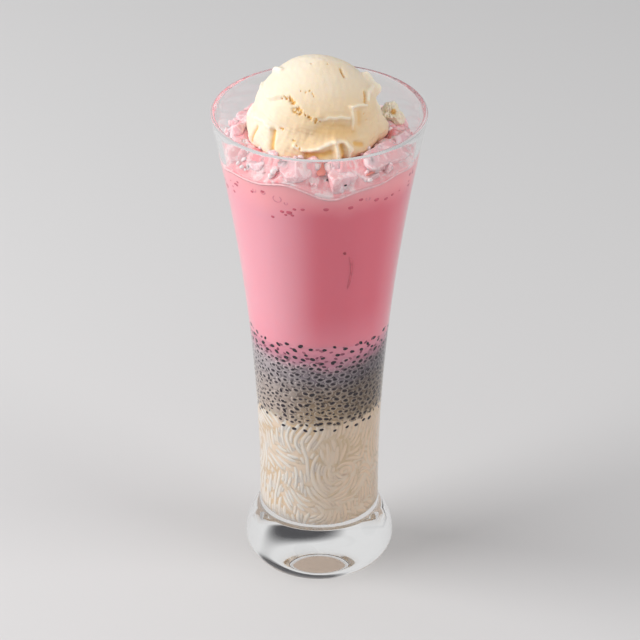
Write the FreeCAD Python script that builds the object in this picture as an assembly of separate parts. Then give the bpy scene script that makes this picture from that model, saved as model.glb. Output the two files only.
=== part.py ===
import FreeCAD, Part
import math
import os
import random

os.makedirs("parts", exist_ok=True)
V = FreeCAD.Vector

# ---------------------------------------------------------------- sizes, mm
# tall footed glass
HEIGHT = 200.0            # floor to rim
RIM_R = 41.75             # outside radius at the rim
WAIST_R = 24.03           # outside radius at the slimmest place
WAIST_Z = 34.0            # height of the slimmest place
FLARE_POWER = 2.0         # how the wall opens out above the waist
FLARE_EASE = 0.13         # how the opening slows towards the rim
WALL_WAIST = 2.4          # wall thickness low down
WALL_RIM = 1.9            # wall thickness at the rim
FOOT_R = 30.1             # widest radius of the foot
FOOT_BULGE_Z = 8.5        # height of that widest place
FOOT_H = 24.0             # floor to the groove between foot and wall
GROOVE_OUT = 0.17         # the groove lies this far outside the waist
RING_OUT = 23.67          # outer edge of the flat ring it stands on
RING_IN = 19.22           # inner edge of that ring
PUNT_H = 2.6              # hollow under the foot
FLOOR_DROP = 1.2          # inside floor of the cup, under the groove
CUP_CORNER = 6.0          # inside corner radius at the floor

# layers
NOODLE_DEPTH = 50.9       # vermicelli, up from the floor of the cup
NOODLE_WAVE = 1.2         # unevenness of its top
WAVE_LONG = 41.0          # about twice the distance between two of its crests
SEED_DEPTH = 35.3         # soaked seeds on the vermicelli
SEED_WAVE = 1.6           # how much their top is domed to the front and back
MILK_DOWN = 15.8          # rim down to the milk at the wall
MILK_DISH = 13.7          # the ice is sunk this deep in the middle
MILK_SWELLS = (           # degrees from the front, rise, half width in degrees
    (-76.0, -3.0, 12.0),
    (-20.0, 2.7, 13.0),
    (7.0, -3.1, 12.0),
    (51.0, 1.5, 9.0),
)
HEAP_LIP = 1.3            # slush on the wall above the milk
HEAP_RISE = 4.6           # and its climb from there towards the scoop
HEAP_LUMP = 0.7           # unevenness of the heap

# scoop of ice cream
SCOOP_R = 24.3            # radius of the dome
SCOOP_X = -1.1            # it sits a little to one side
SCOOP_DOWN = 3.15         # its middle, down from the rim
SKIRT_OUT = 2.6           # torn skirt sticks out this far
SKIRT_ANGLE = 93.5        # degrees from the top to the skirt
SKIRT_WIDE = 9.5          # half width of the skirt, degrees
CRUMB_R = 4.0             # broken crumb at the edge of the skirt
CRUMB_ANGLE = 17.0        # its place, degrees round from +X
CRUMB_DROP = 2.45         # and its height under the middle of the scoop

# pieces of ice standing out of the heap
CHUNK_SIZE = 9.0          # edge of a usual piece
CHUNKS = 17               # pieces in the ring
CHUNK_IN = 6.7            # the ring they lie on, in from the wall
CHUNK_TURN = 0.29         # where the ring begins, radians from the front

# places that follow from the sizes
GROOVE_R = WAIST_R + GROOVE_OUT
CUP_FLOOR = FOOT_H - FLOOR_DROP
NOODLE_TOP = CUP_FLOOR + NOODLE_DEPTH
SEED_TOP = NOODLE_TOP + SEED_DEPTH
MILK_LINE = HEIGHT - MILK_DOWN
SCOOP_Z = HEIGHT - SCOOP_DOWN

rng = random.Random(11)


# ---------------------------------------------------------------- the glass
def wall_r(z):
    """Outside radius of the wall at height z."""
    t = (z - WAIST_Z) / (HEIGHT - WAIST_Z)
    if t <= 0.0:
        down = (WAIST_Z - z) / (WAIST_Z - FOOT_H)
        return WAIST_R + (GROOVE_R - WAIST_R) * down ** 3
    power = FLARE_POWER - FLARE_EASE * t
    return WAIST_R + (RIM_R - WAIST_R) * t ** power


def wall_t(z):
    """Wall thickness at height z."""
    t = (z - FOOT_H) / (HEIGHT - FOOT_H)
    return WALL_WAIST + (WALL_RIM - WALL_WAIST) * t


def inner_r(z):
    """Inside radius of the cup at height z."""
    return wall_r(z) - wall_t(z)


def foot_r(z):
    """Outside radius of the foot at height z."""
    if z < FOOT_BULGE_Z:
        t = z / FOOT_BULGE_Z
        return RING_OUT + (FOOT_R - RING_OUT) * math.sin(t * math.pi / 2) ** 0.58
    t = (z - FOOT_BULGE_Z) / (FOOT_H - FOOT_BULGE_Z)
    return GROOVE_R + (FOOT_R - GROOVE_R) * math.cos(t * math.pi / 2)


def spline(points):
    """Smooth edge through points in the XZ plane, given as (r, z)."""
    curve = Part.BSplineCurve()
    curve.interpolate([V(r, 0, z) for r, z in points])
    return curve.toShape()


def line(a, b):
    """Straight edge between two (r, z) points."""
    return Part.makeLine(V(a[0], 0, a[1]), V(b[0], 0, b[1]))


def arc(a, b, c):
    """Arc through three (r, z) points."""
    return Part.Arc(*[V(p[0], 0, p[1]) for p in (a, b, c)]).toShape()


def steps(low, high, count):
    """Heights from low to high."""
    return [low + (high - low) * i / (count - 1) for i in range(count)]


def turn(edges):
    """Solid of revolution about Z from a closed run of edges."""
    face = Part.Face(Part.Wire(edges))
    return face.revolve(V(0, 0, 0), V(0, 0, 1), 360)


LIP_R = WALL_RIM / 2
LIP_Z = HEIGHT - LIP_R
CORNER_Z = CUP_FLOOR + CUP_CORNER
lip_out = (wall_r(LIP_Z), LIP_Z)
lip_in = (wall_r(LIP_Z) - WALL_RIM, LIP_Z)
lip_top = (wall_r(LIP_Z) - LIP_R, HEIGHT)
cup_side = (inner_r(CORNER_Z), CORNER_Z)
cup_turn = (cup_side[0] - CUP_CORNER, CUP_FLOOR)
lean = CUP_CORNER * (1 - math.sqrt(0.5))
cup_mid = (cup_side[0] - lean, CUP_FLOOR + lean)
groove = (GROOVE_R, FOOT_H)

inner_side = [cup_side]
inner_side += [(inner_r(z), z) for z in steps(CORNER_Z, LIP_Z, 11)[1:-1]]
inner_side += [lip_in]
inner_edges = [
    line((0, CUP_FLOOR), cup_turn),
    arc(cup_turn, cup_mid, cup_side),
    spline(inner_side),
]
outer_side = [groove]
outer_side += [(wall_r(z), z) for z in steps(FOOT_H, LIP_Z, 13)[1:-1]]
outer_side += [lip_out]
foot_side = [(RING_OUT, 0.0)]
foot_side += [(foot_r(z), z) for z in steps(0, FOOT_BULGE_Z, 6)[1:-1]]
foot_side += [(foot_r(z), z) for z in steps(FOOT_BULGE_Z, FOOT_H, 7)[:-1]]
foot_side += [groove]
punt_r = (RING_IN ** 2 + PUNT_H ** 2) / (2 * PUNT_H)
punt_mid = (RING_IN / 2, PUNT_H - punt_r + math.sqrt(punt_r ** 2 - RING_IN ** 2 / 4))
outer_edges = [
    arc(lip_in, lip_top, lip_out),
    spline(outer_side),
    spline(foot_side),
    line((RING_OUT, 0), (RING_IN, 0)),
    arc((RING_IN, 0), punt_mid, (0, PUNT_H)),
    line((0, PUNT_H), (0, CUP_FLOOR)),
]
glass = turn(inner_edges + outer_edges)
cavity = turn(inner_edges + [line(lip_in, (0, LIP_Z)), line((0, LIP_Z), (0, CUP_FLOOR))])


# ------------------------------------------------- uneven lines between layers
def ripple(x, y, wave, turn_by):
    """Gentle unevenness at a place, at most about the wave given."""
    k = 2 * math.pi / WAVE_LONG
    a = math.sin(1.9 * k * x + turn_by)
    b = math.sin(1.6 * k * y + 2.1 * turn_by)
    c = math.sin(2.3 * k * (0.6 * x + 0.8 * y) + 0.7)
    return wave * (0.45 * a + 0.35 * b + 0.35 * c)


def noodle_top(x, y):
    """Height of the top of the vermicelli."""
    return NOODLE_TOP + ripple(x, y, NOODLE_WAVE, 0.4)


def seed_top(x, y):
    """Height of the top of the seeds, domed towards the front."""
    side = abs(x) / inner_r(SEED_TOP)
    return SEED_TOP + SEED_WAVE - 2.2 * SEED_WAVE * side ** 2 + ripple(x, y, 0.5, 1.3)


def swell(x, y):
    """Rise of the milk line at the side a place faces, growing outwards."""
    reach = min(math.hypot(x, y) / inner_r(MILK_LINE), 1.12)
    around = math.degrees(math.atan2(x, -y))
    rise = sum(up * math.exp(-((around - at) / wide) ** 2) for at, up, wide in MILK_SWELLS)
    return reach, rise * reach ** 3


def milk_top(x, y):
    """Height of the milk: a wavy line at the wall, dished under the ice."""
    reach, rise = swell(x, y)
    return MILK_LINE - MILK_DISH * (1 - reach ** 2) + rise


def heap_top(x, y):
    """Height of the crushed ice: low at the wall, high by the scoop."""
    reach, rise = swell(x, y)
    climb = HEAP_RISE * min(1.0, 1.9 * (1 - reach ** 2))
    lump = HEAP_LUMP * math.sin(0.55 * x + 0.9) * math.sin(0.47 * y + 0.3)
    return MILK_LINE + rise + HEAP_LIP + climb + lump * min(1.0, 3 * (1.12 - reach))


def below(height_at):
    """Everything under an uneven surface, as a solid block."""
    half = 1.25 * RIM_R
    count = 23
    gap = 2 * half / (count - 1)
    rows = []
    for i in range(count):
        x = -half + gap * i
        rows.append([height_at(x, -half + gap * j) for j in range(count)])
    top = Part.BSplineSurface()
    top.interpolate(rows, -half, gap, -half, gap)
    return top.toShape().extrude(V(0, 0, -2 * HEIGHT))


under_noodle = below(noodle_top)
under_seed = below(seed_top)
under_milk = below(milk_top)
under_heap = below(heap_top)


# ---------------------------------------------------------------- the scoop
def scoop_reach(turned, down):
    """Distance from the middle of the scoop to its skin, angles in degrees."""
    p = math.radians(turned)
    skirt = math.exp(-((down - SKIRT_ANGLE - 2.5 * math.sin(2 * p + 0.6)) / SKIRT_WIDE) ** 2)
    torn = 1 + 0.22 * math.sin(5 * p + 0.9) + 0.16 * math.sin(9 * p + 2.0)
    tuck = 0.7 * math.exp(-((down - SKIRT_ANGLE + 19) / 7.0) ** 2)
    dent = 0.35 * math.sin(3 * p + down / 17.0) * math.sin(math.radians(down)) ** 2
    return SCOOP_R + SKIRT_OUT * skirt * torn - tuck + dent


def scoop_skin():
    """Rounded skin of the scoop, closed by a small flat at top and bottom."""
    around = 26
    downs = [4, 12, 23, 36, 50, 63, 74, 82, 89, 95, 101, 107, 114, 124, 138, 155, 168, 176]
    rows = []
    for i in range(around):
        turned = 360.0 * i / around
        p = math.radians(turned)
        row = []
        for down in downs:
            d = math.radians(down)
            reach = scoop_reach(turned, down)
            flat = reach * math.sin(d)
            up = reach * math.cos(d)
            if down in downs[:2]:
                up = SCOOP_R
            if down in downs[-2:]:
                up = -SCOOP_R
            row.append(V(SCOOP_X + flat * math.cos(p), flat * math.sin(p), SCOOP_Z + up))
        rows.append(row)
    inner = len(downs) - 3
    skin = Part.BSplineSurface()
    skin.buildFromPolesMultsKnots(
        rows,
        [1] * (around + 1),
        [4] + [1] * (inner - 1) + [4],
        [float(i) for i in range(around + 1)],
        [float(i) for i in range(inner + 1)],
        True,
        False,
        3,
        3,
    )
    face = skin.toShape()
    rings = [e for e in face.Edges if e.BoundBox.ZLength < 0.01]
    return [face] + [Part.Face(Part.Wire([e])) for e in rings]


def solid_of(faces):
    """Solid inside a closed set of faces, facing outwards."""
    shell = Part.Shell(faces)
    shell.sewShape()
    body = Part.Solid(shell)
    if body.Volume < 0:
        body.reverse()
    return body


def crumb_lump(x, y, z, radius):
    """Broken crumb: three balls of different size run together."""
    lump = Part.makeSphere(radius, V(x, y, z))
    one = Part.makeSphere(0.72 * radius, V(x + 0.6 * radius, y - 0.5 * radius, z - 0.15 * radius))
    two = Part.makeSphere(0.66 * radius, V(x - 0.75 * radius, y - 0.2 * radius, z - 0.3 * radius))
    return lump.fuse([one, two])


scoop = solid_of(scoop_skin())
crumb_reach = SCOOP_R + SKIRT_OUT + 0.6 * CRUMB_R
crumb_x = SCOOP_X + crumb_reach * math.cos(math.radians(CRUMB_ANGLE))
crumb_y = crumb_reach * math.sin(math.radians(CRUMB_ANGLE))
crumb = crumb_lump(crumb_x, crumb_y, SCOOP_Z - CRUMB_DROP, CRUMB_R)
ice_cream = scoop.fuse(crumb).cut(glass)


# ---------------------------------------------------------- the crushed ice
def chunk(x, y, z, size, twist, tilt):
    """Broken block of ice: where two tilted boxes meet."""
    wide = size * 1.25
    one = Part.makeBox(wide, size, size * 0.8, V(-wide / 2, -size / 2, -size * 0.4))
    two = Part.makeBox(wide, size, size, V(-wide / 2, -size / 2, -size / 2))
    two.rotate(V(0, 0, 0), V(0.4, 0.8, 0.5), 37)
    block = one.common(two)
    block.rotate(V(0, 0, 0), V(1, 0.3, 0), tilt)
    block.rotate(V(0, 0, 0), V(0, 0, 1), twist)
    block.translate(V(x, y, z))
    return block


CHUNK_RING_R = inner_r(MILK_LINE) - CHUNK_IN
heap = cavity.common(under_heap).cut(under_milk).cut(ice_cream)
blocks = []
for i in range(CHUNKS):
    around = 2 * math.pi * (i + rng.uniform(-0.32, 0.32)) / CHUNKS + CHUNK_TURN
    out = 0.5 + 0.5 * math.cos(math.pi * i)
    reach = CHUNK_RING_R + 2.9 * out + rng.uniform(-1.25, 1.25)
    x = reach * math.sin(around)
    y = -reach * math.cos(around)
    size = CHUNK_SIZE * rng.uniform(0.72, 1.15)
    z = heap_top(x, y) - 0.3 * size
    blocks.append(chunk(x, y, z, size, rng.uniform(0, 360), rng.uniform(-32, 32)))
ring = blocks[0].fuse(blocks[1:])
ring = ring.cut(ice_cream).common(cavity).cut(under_milk)
crushed_ice = heap.fuse(ring.Solids)

# ---------------------------------------------------------------- the layers
vermicelli = cavity.common(under_noodle)
basil_seeds = cavity.common(under_seed).cut(under_noodle)
rose_milk = cavity.common(under_milk).cut(under_seed).cut(ice_cream)

nodes = {
    "glass": glass,
    "vermicelli": vermicelli,
    "basil_seeds": basil_seeds,
    "rose_milk": rose_milk,
    "crushed_ice": crushed_ice,
    "ice_cream": ice_cream,
}

for name, shape in nodes.items():
    solids = sorted(shape.Solids, key=lambda s: -s.Volume)
    body = solids[0]
    body.exportStep(f"parts/{name}.step")
    box = body.BoundBox
    left = sum(s.Volume for s in solids[1:])
    print(name, len(solids), f"{body.Volume:.0f}", f"left out {left:.1f}", body.isValid())
    print("   ", f"x {box.XMin:.1f} {box.XMax:.1f} y {box.YMin:.1f} {box.YMax:.1f}",
          f"z {box.ZMin:.1f} {box.ZMax:.1f}")
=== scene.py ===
"""Falooda in its tall footed glass: the looks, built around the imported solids."""

import logging
import math
import random
from dataclasses import dataclass, field
from enum import Enum
from typing import Any, Callable, Sequence

import bpy
import numpy as np
from mathutils import Matrix, Vector


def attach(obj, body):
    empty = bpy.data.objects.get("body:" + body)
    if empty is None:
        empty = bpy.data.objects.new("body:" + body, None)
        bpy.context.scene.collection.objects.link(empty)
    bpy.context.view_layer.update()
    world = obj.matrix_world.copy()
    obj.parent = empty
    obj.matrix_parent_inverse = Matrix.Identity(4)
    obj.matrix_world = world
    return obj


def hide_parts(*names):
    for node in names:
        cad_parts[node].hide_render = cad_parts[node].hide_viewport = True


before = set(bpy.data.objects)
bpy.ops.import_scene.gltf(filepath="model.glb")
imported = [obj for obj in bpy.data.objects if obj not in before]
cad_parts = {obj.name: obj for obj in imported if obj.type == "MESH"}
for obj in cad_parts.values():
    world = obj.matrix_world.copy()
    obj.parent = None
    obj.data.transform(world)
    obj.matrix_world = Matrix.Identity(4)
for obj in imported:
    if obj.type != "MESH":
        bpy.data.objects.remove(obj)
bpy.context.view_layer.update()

LOG = logging.getLogger("falooda")
MM = 0.001
IN_WALL = 0.15  # how far every layer reaches into the wall, in millimetres
SAME_POINT = 2e-6  # distance under which points are merged, in metres
BODY = "root"

Point = tuple[float, float, float]
Profile = list[tuple[float, float]]
Colour = tuple[float, float, float]


class Slot(Enum):
    """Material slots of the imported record."""

    GLASS = "glass"
    VERMICELLI = "vermicelli"
    SEEDS = "basil_seeds"
    MILK = "rose_milk"
    ICE = "crushed_ice"
    CREAM = "ice_cream"


# ------------------------------------------------------------------ shapes
@dataclass(frozen=True)
class CupShape:
    """Turned shape of the glass, in millimetres.

    Every radius function takes a height above the floor, as a number or an
    array of numbers.
    """

    height: float = 200.0
    rim_r: float = 41.75
    waist_r: float = 24.03
    waist_z: float = 34.0
    flare_power: float = 2.0
    flare_ease: float = 0.13
    wall_waist: float = 2.4
    wall_rim: float = 1.9
    foot_r: float = 30.1
    foot_bulge_z: float = 8.5
    foot_h: float = 24.0
    groove_out: float = 0.17
    ring_out: float = 23.67
    ring_in: float = 19.22
    punt_h: float = 2.6
    floor_z: float = 22.8
    corner: float = 6.0

    def wall(self, z: Any) -> Any:
        """Gives the outside radius of the wall.

        Args:
            z: Height above the floor.

        Returns:
            Radius at that height.
        """
        z = np.asarray(z, dtype=float)
        t = np.clip((z - self.waist_z) / (self.height - self.waist_z), 0.0, 1.05)
        down = np.clip((self.waist_z - z) / (self.waist_z - self.foot_h), 0.0, 1.0)
        power = self.flare_power - self.flare_ease * t
        flare = (self.rim_r - self.waist_r) * t**power
        return self.waist_r + flare + self.groove_out * down**3

    def inner(self, z: Any) -> Any:
        """Gives the inside radius of the wall, without the rounded corner."""
        z = np.asarray(z, dtype=float)
        t = (z - self.foot_h) / (self.height - self.foot_h)
        return self.wall(z) - self.wall_waist - (self.wall_rim - self.wall_waist) * t

    def bore(self, z: Any) -> Any:
        """Gives the inside radius of the cup with its rounded corner."""
        z = np.asarray(z, dtype=float)
        top = self.floor_z + self.corner
        side = self.inner(top)
        drop = np.clip(top - z, 0.0, self.corner)
        turned = side - self.corner + np.sqrt(self.corner**2 - drop**2)
        return np.where(z < top, turned, self.inner(z))

    def foot(self, z: float) -> float:
        """Gives the outside radius of the foot."""
        groove = self.waist_r + self.groove_out
        if z < self.foot_bulge_z:
            t = z / self.foot_bulge_z
            return self.ring_out + (self.foot_r - self.ring_out) * math.sin(t * math.pi / 2) ** 0.58
        t = (z - self.foot_bulge_z) / (self.foot_h - self.foot_bulge_z)
        return groove + (self.foot_r - groove) * math.cos(t * math.pi / 2)

    def section(self) -> Profile:
        """Walks round the cut section of the glass.

        Returns:
            Points as radius and height, from the middle of the underside,
            up the outside, over the lip and down to the middle of the cup.
        """
        ring_r = (self.ring_in**2 + self.punt_h**2) / (2 * self.punt_h)
        under = []
        for r in np.linspace(0.0, self.ring_in, 12):
            under.append((float(r), self.punt_h - ring_r + math.sqrt(ring_r**2 - r**2)))
        under += [(self.ring_in + 0.6, 0.0), (self.ring_out - 0.6, 0.0)]
        low = [self.foot_bulge_z * t**1.7 for t in np.linspace(0, 1, 14)]
        high = np.linspace(self.foot_bulge_z, self.foot_h, 18)[1:]
        outside = [(self.foot(float(z)), float(z)) for z in [*low, *high]]
        lip = self.wall_rim / 2
        lip_z = self.height - lip
        for z in np.linspace(self.foot_h, lip_z, 66)[1:]:
            outside.append((float(self.wall(z)), float(z)))
        middle = float(self.wall(lip_z)) - lip
        for a in np.linspace(0, math.pi, 11)[1:-1]:
            outside.append((middle + lip * math.cos(a), lip_z + lip * math.sin(a)))
        top = self.floor_z + self.corner
        inside = [(float(self.inner(z)), float(z)) for z in np.linspace(lip_z, top, 66)]
        side = float(self.inner(top)) - self.corner
        for a in np.linspace(0, math.pi / 2, 10)[1:]:
            inside.append((side + self.corner * math.cos(a), top - self.corner * math.sin(a)))
        inside.append((0.0, self.floor_z))
        return under + outside + inside


@dataclass(frozen=True)
class LayerLines:
    """Heights at which one layer gives way to the next, in millimetres."""

    cup: CupShape = field(default_factory=CupShape)
    noodle_depth: float = 50.9
    noodle_wave: float = 1.2
    wave_long: float = 41.0
    seed_depth: float = 35.3
    seed_wave: float = 1.6
    milk_down: float = 15.8
    milk_dish: float = 13.7
    swells: tuple[Point, ...] = (
        (-76.0, -3.0, 12.0),
        (-20.0, 2.7, 13.0),
        (7.0, -3.1, 12.0),
        (51.0, 1.5, 9.0),
    )
    heap_lip: float = 1.3
    heap_rise: float = 4.6
    heap_lump: float = 0.7

    @property
    def noodle_z(self) -> float:
        """Mean height of the top of the vermicelli."""
        return self.cup.floor_z + self.noodle_depth

    @property
    def seed_z(self) -> float:
        """Mean height of the top of the seeds."""
        return self.noodle_z + self.seed_depth

    @property
    def milk_z(self) -> float:
        """Mean height of the milk at the wall."""
        return self.cup.height - self.milk_down

    def ripple(self, x: Any, y: Any, wave: float, turn: float) -> Any:
        """Gives a gentle unevenness at a place.

        Args:
            x: Place across.
            y: Place in depth.
            wave: About how far it goes up and down.
            turn: Shift of the pattern.

        Returns:
            Rise at the place.
        """
        k = 2 * math.pi / self.wave_long
        a = np.sin(1.9 * k * x + turn)
        b = np.sin(1.6 * k * y + 2.1 * turn)
        c = np.sin(2.3 * k * (0.6 * x + 0.8 * y) + 0.7)
        return wave * (0.45 * a + 0.35 * b + 0.35 * c)

    def noodle_top(self, x: Any, y: Any) -> Any:
        """Gives the height of the top of the vermicelli."""
        return self.noodle_z + self.ripple(x, y, self.noodle_wave, 0.4)

    def seed_top(self, x: Any, y: Any) -> Any:
        """Gives the height of the top of the seeds."""
        side = np.abs(x) / float(self.cup.inner(self.seed_z))
        dome = self.seed_wave - 2.2 * self.seed_wave * side**2
        return self.seed_z + dome + self.ripple(x, y, 0.5, 1.3)

    def swell(self, x: Any, y: Any) -> tuple[Any, Any]:
        """Gives how far out a place lies and how much the line rises there."""
        reach = np.minimum(np.hypot(x, y) / float(self.cup.inner(self.milk_z)), 1.12)
        around = np.degrees(np.arctan2(x, -np.asarray(y)))
        rise = sum(up * np.exp(-(((around - at) / wide) ** 2)) for at, up, wide in self.swells)
        return reach, rise * reach**3

    def milk_top(self, x: Any, y: Any) -> Any:
        """Gives the height of the milk, dished under the ice."""
        reach, rise = self.swell(x, y)
        return self.milk_z - self.milk_dish * (1 - reach**2) + rise

    def heap_top(self, x: Any, y: Any) -> Any:
        """Gives the height of the crushed ice."""
        reach, rise = self.swell(x, y)
        climb = self.heap_rise * np.minimum(1.0, 1.9 * (1 - reach**2))
        lump = self.heap_lump * np.sin(0.55 * x + 0.9) * np.sin(0.47 * y + 0.3)
        return self.milk_z + rise + self.heap_lip + climb + lump * np.minimum(1.0, 3 * (1.12 - reach))


# ------------------------------------------------------------------- bench
class Bench:
    """Modelling steps that several pieces share."""

    @staticmethod
    def clear() -> None:
        """Deselects everything."""
        if bpy.context.object and bpy.context.object.mode != "OBJECT":
            bpy.ops.object.mode_set(mode="OBJECT")
        bpy.ops.object.select_all(action="DESELECT")

    @staticmethod
    def adopt(name: str) -> bpy.types.Object:
        """Names the new active object and its data."""
        piece = bpy.context.object
        piece.name = name
        piece.data.name = name
        return piece

    @staticmethod
    def pick(piece: bpy.types.Object) -> None:
        """Makes a piece the only selected and active one."""
        Bench.clear()
        piece.select_set(True)
        bpy.context.view_layer.objects.active = piece

    @staticmethod
    def ball(name: str, level: int) -> bpy.types.Object:
        """Makes a ball of even triangles with a radius of one millimetre."""
        Bench.clear()
        bpy.ops.mesh.primitive_ico_sphere_add(subdivisions=level, radius=MM)
        return Bench.adopt(name)

    @staticmethod
    def seal(piece: bpy.types.Object) -> None:
        """Merges doubles and turns all faces outwards."""
        Bench.pick(piece)
        bpy.ops.object.mode_set(mode="EDIT")
        bpy.ops.mesh.select_all(action="SELECT")
        bpy.ops.mesh.remove_doubles(threshold=SAME_POINT)
        bpy.ops.mesh.normals_make_consistent(inside=False)
        bpy.ops.object.mode_set(mode="OBJECT")

    @staticmethod
    def smooth(piece: bpy.types.Object, degrees: float = 0.0) -> None:
        """Shades a piece smooth, up to an angle where one is given."""
        Bench.pick(piece)
        if degrees:
            bpy.ops.object.shade_smooth_by_angle(angle=math.radians(degrees))
        else:
            bpy.ops.object.shade_smooth()

    @staticmethod
    def turned(name: str, profile: Profile, steps: int) -> bpy.types.Object:
        """Spins a profile round the Z axis.

        Args:
            name: Name of the piece.
            profile: Radius and height of each point, in millimetres.
            steps: Number of steps round.

        Returns:
            The closed piece, faces outwards.
        """
        Bench.clear()
        r, z = profile[0]
        bpy.ops.mesh.primitive_plane_add(size=MM, location=(0, 0, 0))
        piece = Bench.adopt(name)
        bpy.ops.object.mode_set(mode="EDIT")
        bpy.ops.mesh.select_all(action="SELECT")
        bpy.ops.mesh.merge(type="CENTER")
        bpy.ops.transform.translate(value=(r * MM, 0, z * MM))
        for nr, nz in profile[1:]:
            move = ((nr - r) * MM, 0, (nz - z) * MM)
            bpy.ops.mesh.extrude_region_move(TRANSFORM_OT_translate={"value": move})
            r, z = nr, nz
        bpy.ops.mesh.select_all(action="SELECT")
        bpy.ops.mesh.spin(steps=steps, angle=2 * math.pi, center=(0, 0, 0), axis=(0, 0, 1))
        bpy.ops.object.mode_set(mode="OBJECT")
        Bench.seal(piece)
        return piece

    @staticmethod
    def wrapped(name: str, across: int, along: int, place: Callable[[Any, Any], Any]) -> bpy.types.Object:
        """Bends a flat grid to a surface.

        Args:
            name: Name of the piece.
            across: Cells in the first direction.
            along: Cells in the second direction.
            place: Turns two arrays from 0 to 1 into points in millimetres.

        Returns:
            The bent piece, seams merged, faces outwards.
        """
        Bench.clear()
        bpy.ops.mesh.primitive_grid_add(x_subdivisions=across, y_subdivisions=along, size=1)
        piece = Bench.adopt(name)
        flat = Bench.points(piece)
        bent = place(flat[:, 0] + 0.5, flat[:, 1] + 0.5)
        Bench.put(piece, bent * MM)
        Bench.seal(piece)
        return piece

    @staticmethod
    def points(piece: bpy.types.Object) -> np.ndarray:
        """Gives a piece's points as rows of an array."""
        flat = np.empty(len(piece.data.vertices) * 3)
        piece.data.vertices.foreach_get("co", flat)
        return flat.reshape(-1, 3)

    @staticmethod
    def put(piece: bpy.types.Object, points: np.ndarray) -> None:
        """Moves a piece's points to new places."""
        piece.data.vertices.foreach_set("co", np.ascontiguousarray(points, dtype=float).ravel())
        piece.data.update()

    @staticmethod
    def mark(piece: bpy.types.Object, name: str, values: np.ndarray) -> None:
        """Keeps one number for each point, for the finish to read."""
        kept = piece.data.attributes.new(name, "FLOAT", "POINT")
        kept.data.foreach_set("value", values)

    @staticmethod
    def unit(rows: np.ndarray) -> np.ndarray:
        """Scales each row to a length of one."""
        return rows / np.linalg.norm(rows, axis=1)[:, None]

    @staticmethod
    def round_axis(r: Any, turn: Any, z: Any) -> np.ndarray:
        """Gives points as rows from radius, angle in radians and height."""
        return np.column_stack([r * np.cos(turn), r * np.sin(turn), z])

    @staticmethod
    def copies(name: str, model: bpy.types.Object, places: Sequence[Matrix]) -> bpy.types.Object:
        """Joins copies of a model, each with its own points, and drops the model.

        Args:
            name: Name of the joined piece.
            model: Small mesh object at the origin.
            places: One matrix for each copy.

        Returns:
            The joined piece.
        """
        base = Bench.points(model)
        faces = [list(f.vertices) for f in model.data.polygons]
        count = len(base)
        moved = []
        for m in places:
            a = np.array(m)
            moved.append(base @ a[:3, :3].T + a[:3, 3])
        every = [[i + k * count for i in f] for k in range(len(places)) for f in faces]
        mesh = bpy.data.meshes.new(name)
        mesh.from_pydata(np.vstack(moved).tolist(), [], every)
        marks: dict[str, np.ndarray] = {}
        for kept in model.data.attributes:
            if kept.domain == "POINT" and kept.data_type == "FLOAT" and not kept.is_internal:
                values = np.empty(count)
                kept.data.foreach_get("value", values)
                marks[kept.name] = np.tile(values, len(places))
        mesh.update()
        bpy.data.objects.remove(model, do_unlink=True)
        piece = bpy.data.objects.new(name, mesh)
        bpy.context.scene.collection.objects.link(piece)
        for key, values in marks.items():
            Bench.mark(piece, key, values)
        return piece

    @staticmethod
    def tubes(name: str, runs: Sequence[np.ndarray], radius: float, sides: int = 1) -> bpy.types.Object:
        """Makes round strands along runs of points.

        Args:
            name: Name of the joined piece.
            runs: Points of each strand, in millimetres.
            radius: Strand radius in millimetres.
            sides: Bevel resolution of the strand.

        Returns:
            One mesh of all the strands.
        """
        Bench.clear()
        curve = bpy.data.curves.new(name, "CURVE")
        curve.dimensions = "3D"
        curve.bevel_depth = radius * MM
        curve.bevel_resolution = sides
        curve.resolution_u = 2
        curve.use_fill_caps = True
        for run in runs:
            spline = curve.splines.new("NURBS")
            spline.points.add(len(run) - 1)
            rows = np.column_stack([run * MM, np.ones(len(run))])
            spline.points.foreach_set("co", rows.ravel())
            ends = np.ones(len(run))
            ends[0] = ends[-1] = 0.55
            spline.points.foreach_set("radius", ends)
            spline.order_u = 4
            spline.use_endpoint_u = True
        holder = bpy.data.objects.new(name, curve)
        bpy.context.scene.collection.objects.link(holder)
        Bench.pick(holder)
        bpy.ops.object.convert(target="MESH")
        piece = Bench.adopt(name)
        Bench.smooth(piece)
        return piece

    @staticmethod
    def hand_over(piece: bpy.types.Object, slot: Slot, material: bpy.types.Material, *nodes: str) -> None:
        """Dresses a piece and ties it to the frame.

        Args:
            piece: Finished mesh object.
            slot: Record slot that its finish comes from; not used.
            material: Finish.
            nodes: Solids that the piece stands for.
        """
        piece.data.materials.clear()
        piece.data.materials.append(material)
        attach(piece, BODY)
        if nodes:
            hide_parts(*nodes)
        LOG.info("%s: %d faces", piece.name, len(piece.data.polygons))


# --------------------------------------------------------------- materials
def sum_of(kind: str, swapped: bool = False) -> Callable[["Val", Any], "Val"]:
    """Gives a method that joins two values in one Math node.

    Args:
        kind: Operation of the node.
        swapped: Whether the other value comes first.

    Returns:
        The method.
    """

    def method(self: "Val", other: Any) -> "Val":
        """Joins this value and another."""
        first, second = (other, self) if swapped else (self, other)
        node = self.tree.node("ShaderNodeMath", {"operation": kind}, {0: first, 1: second})
        return Val(self.tree, node.outputs[0])

    return method


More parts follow.
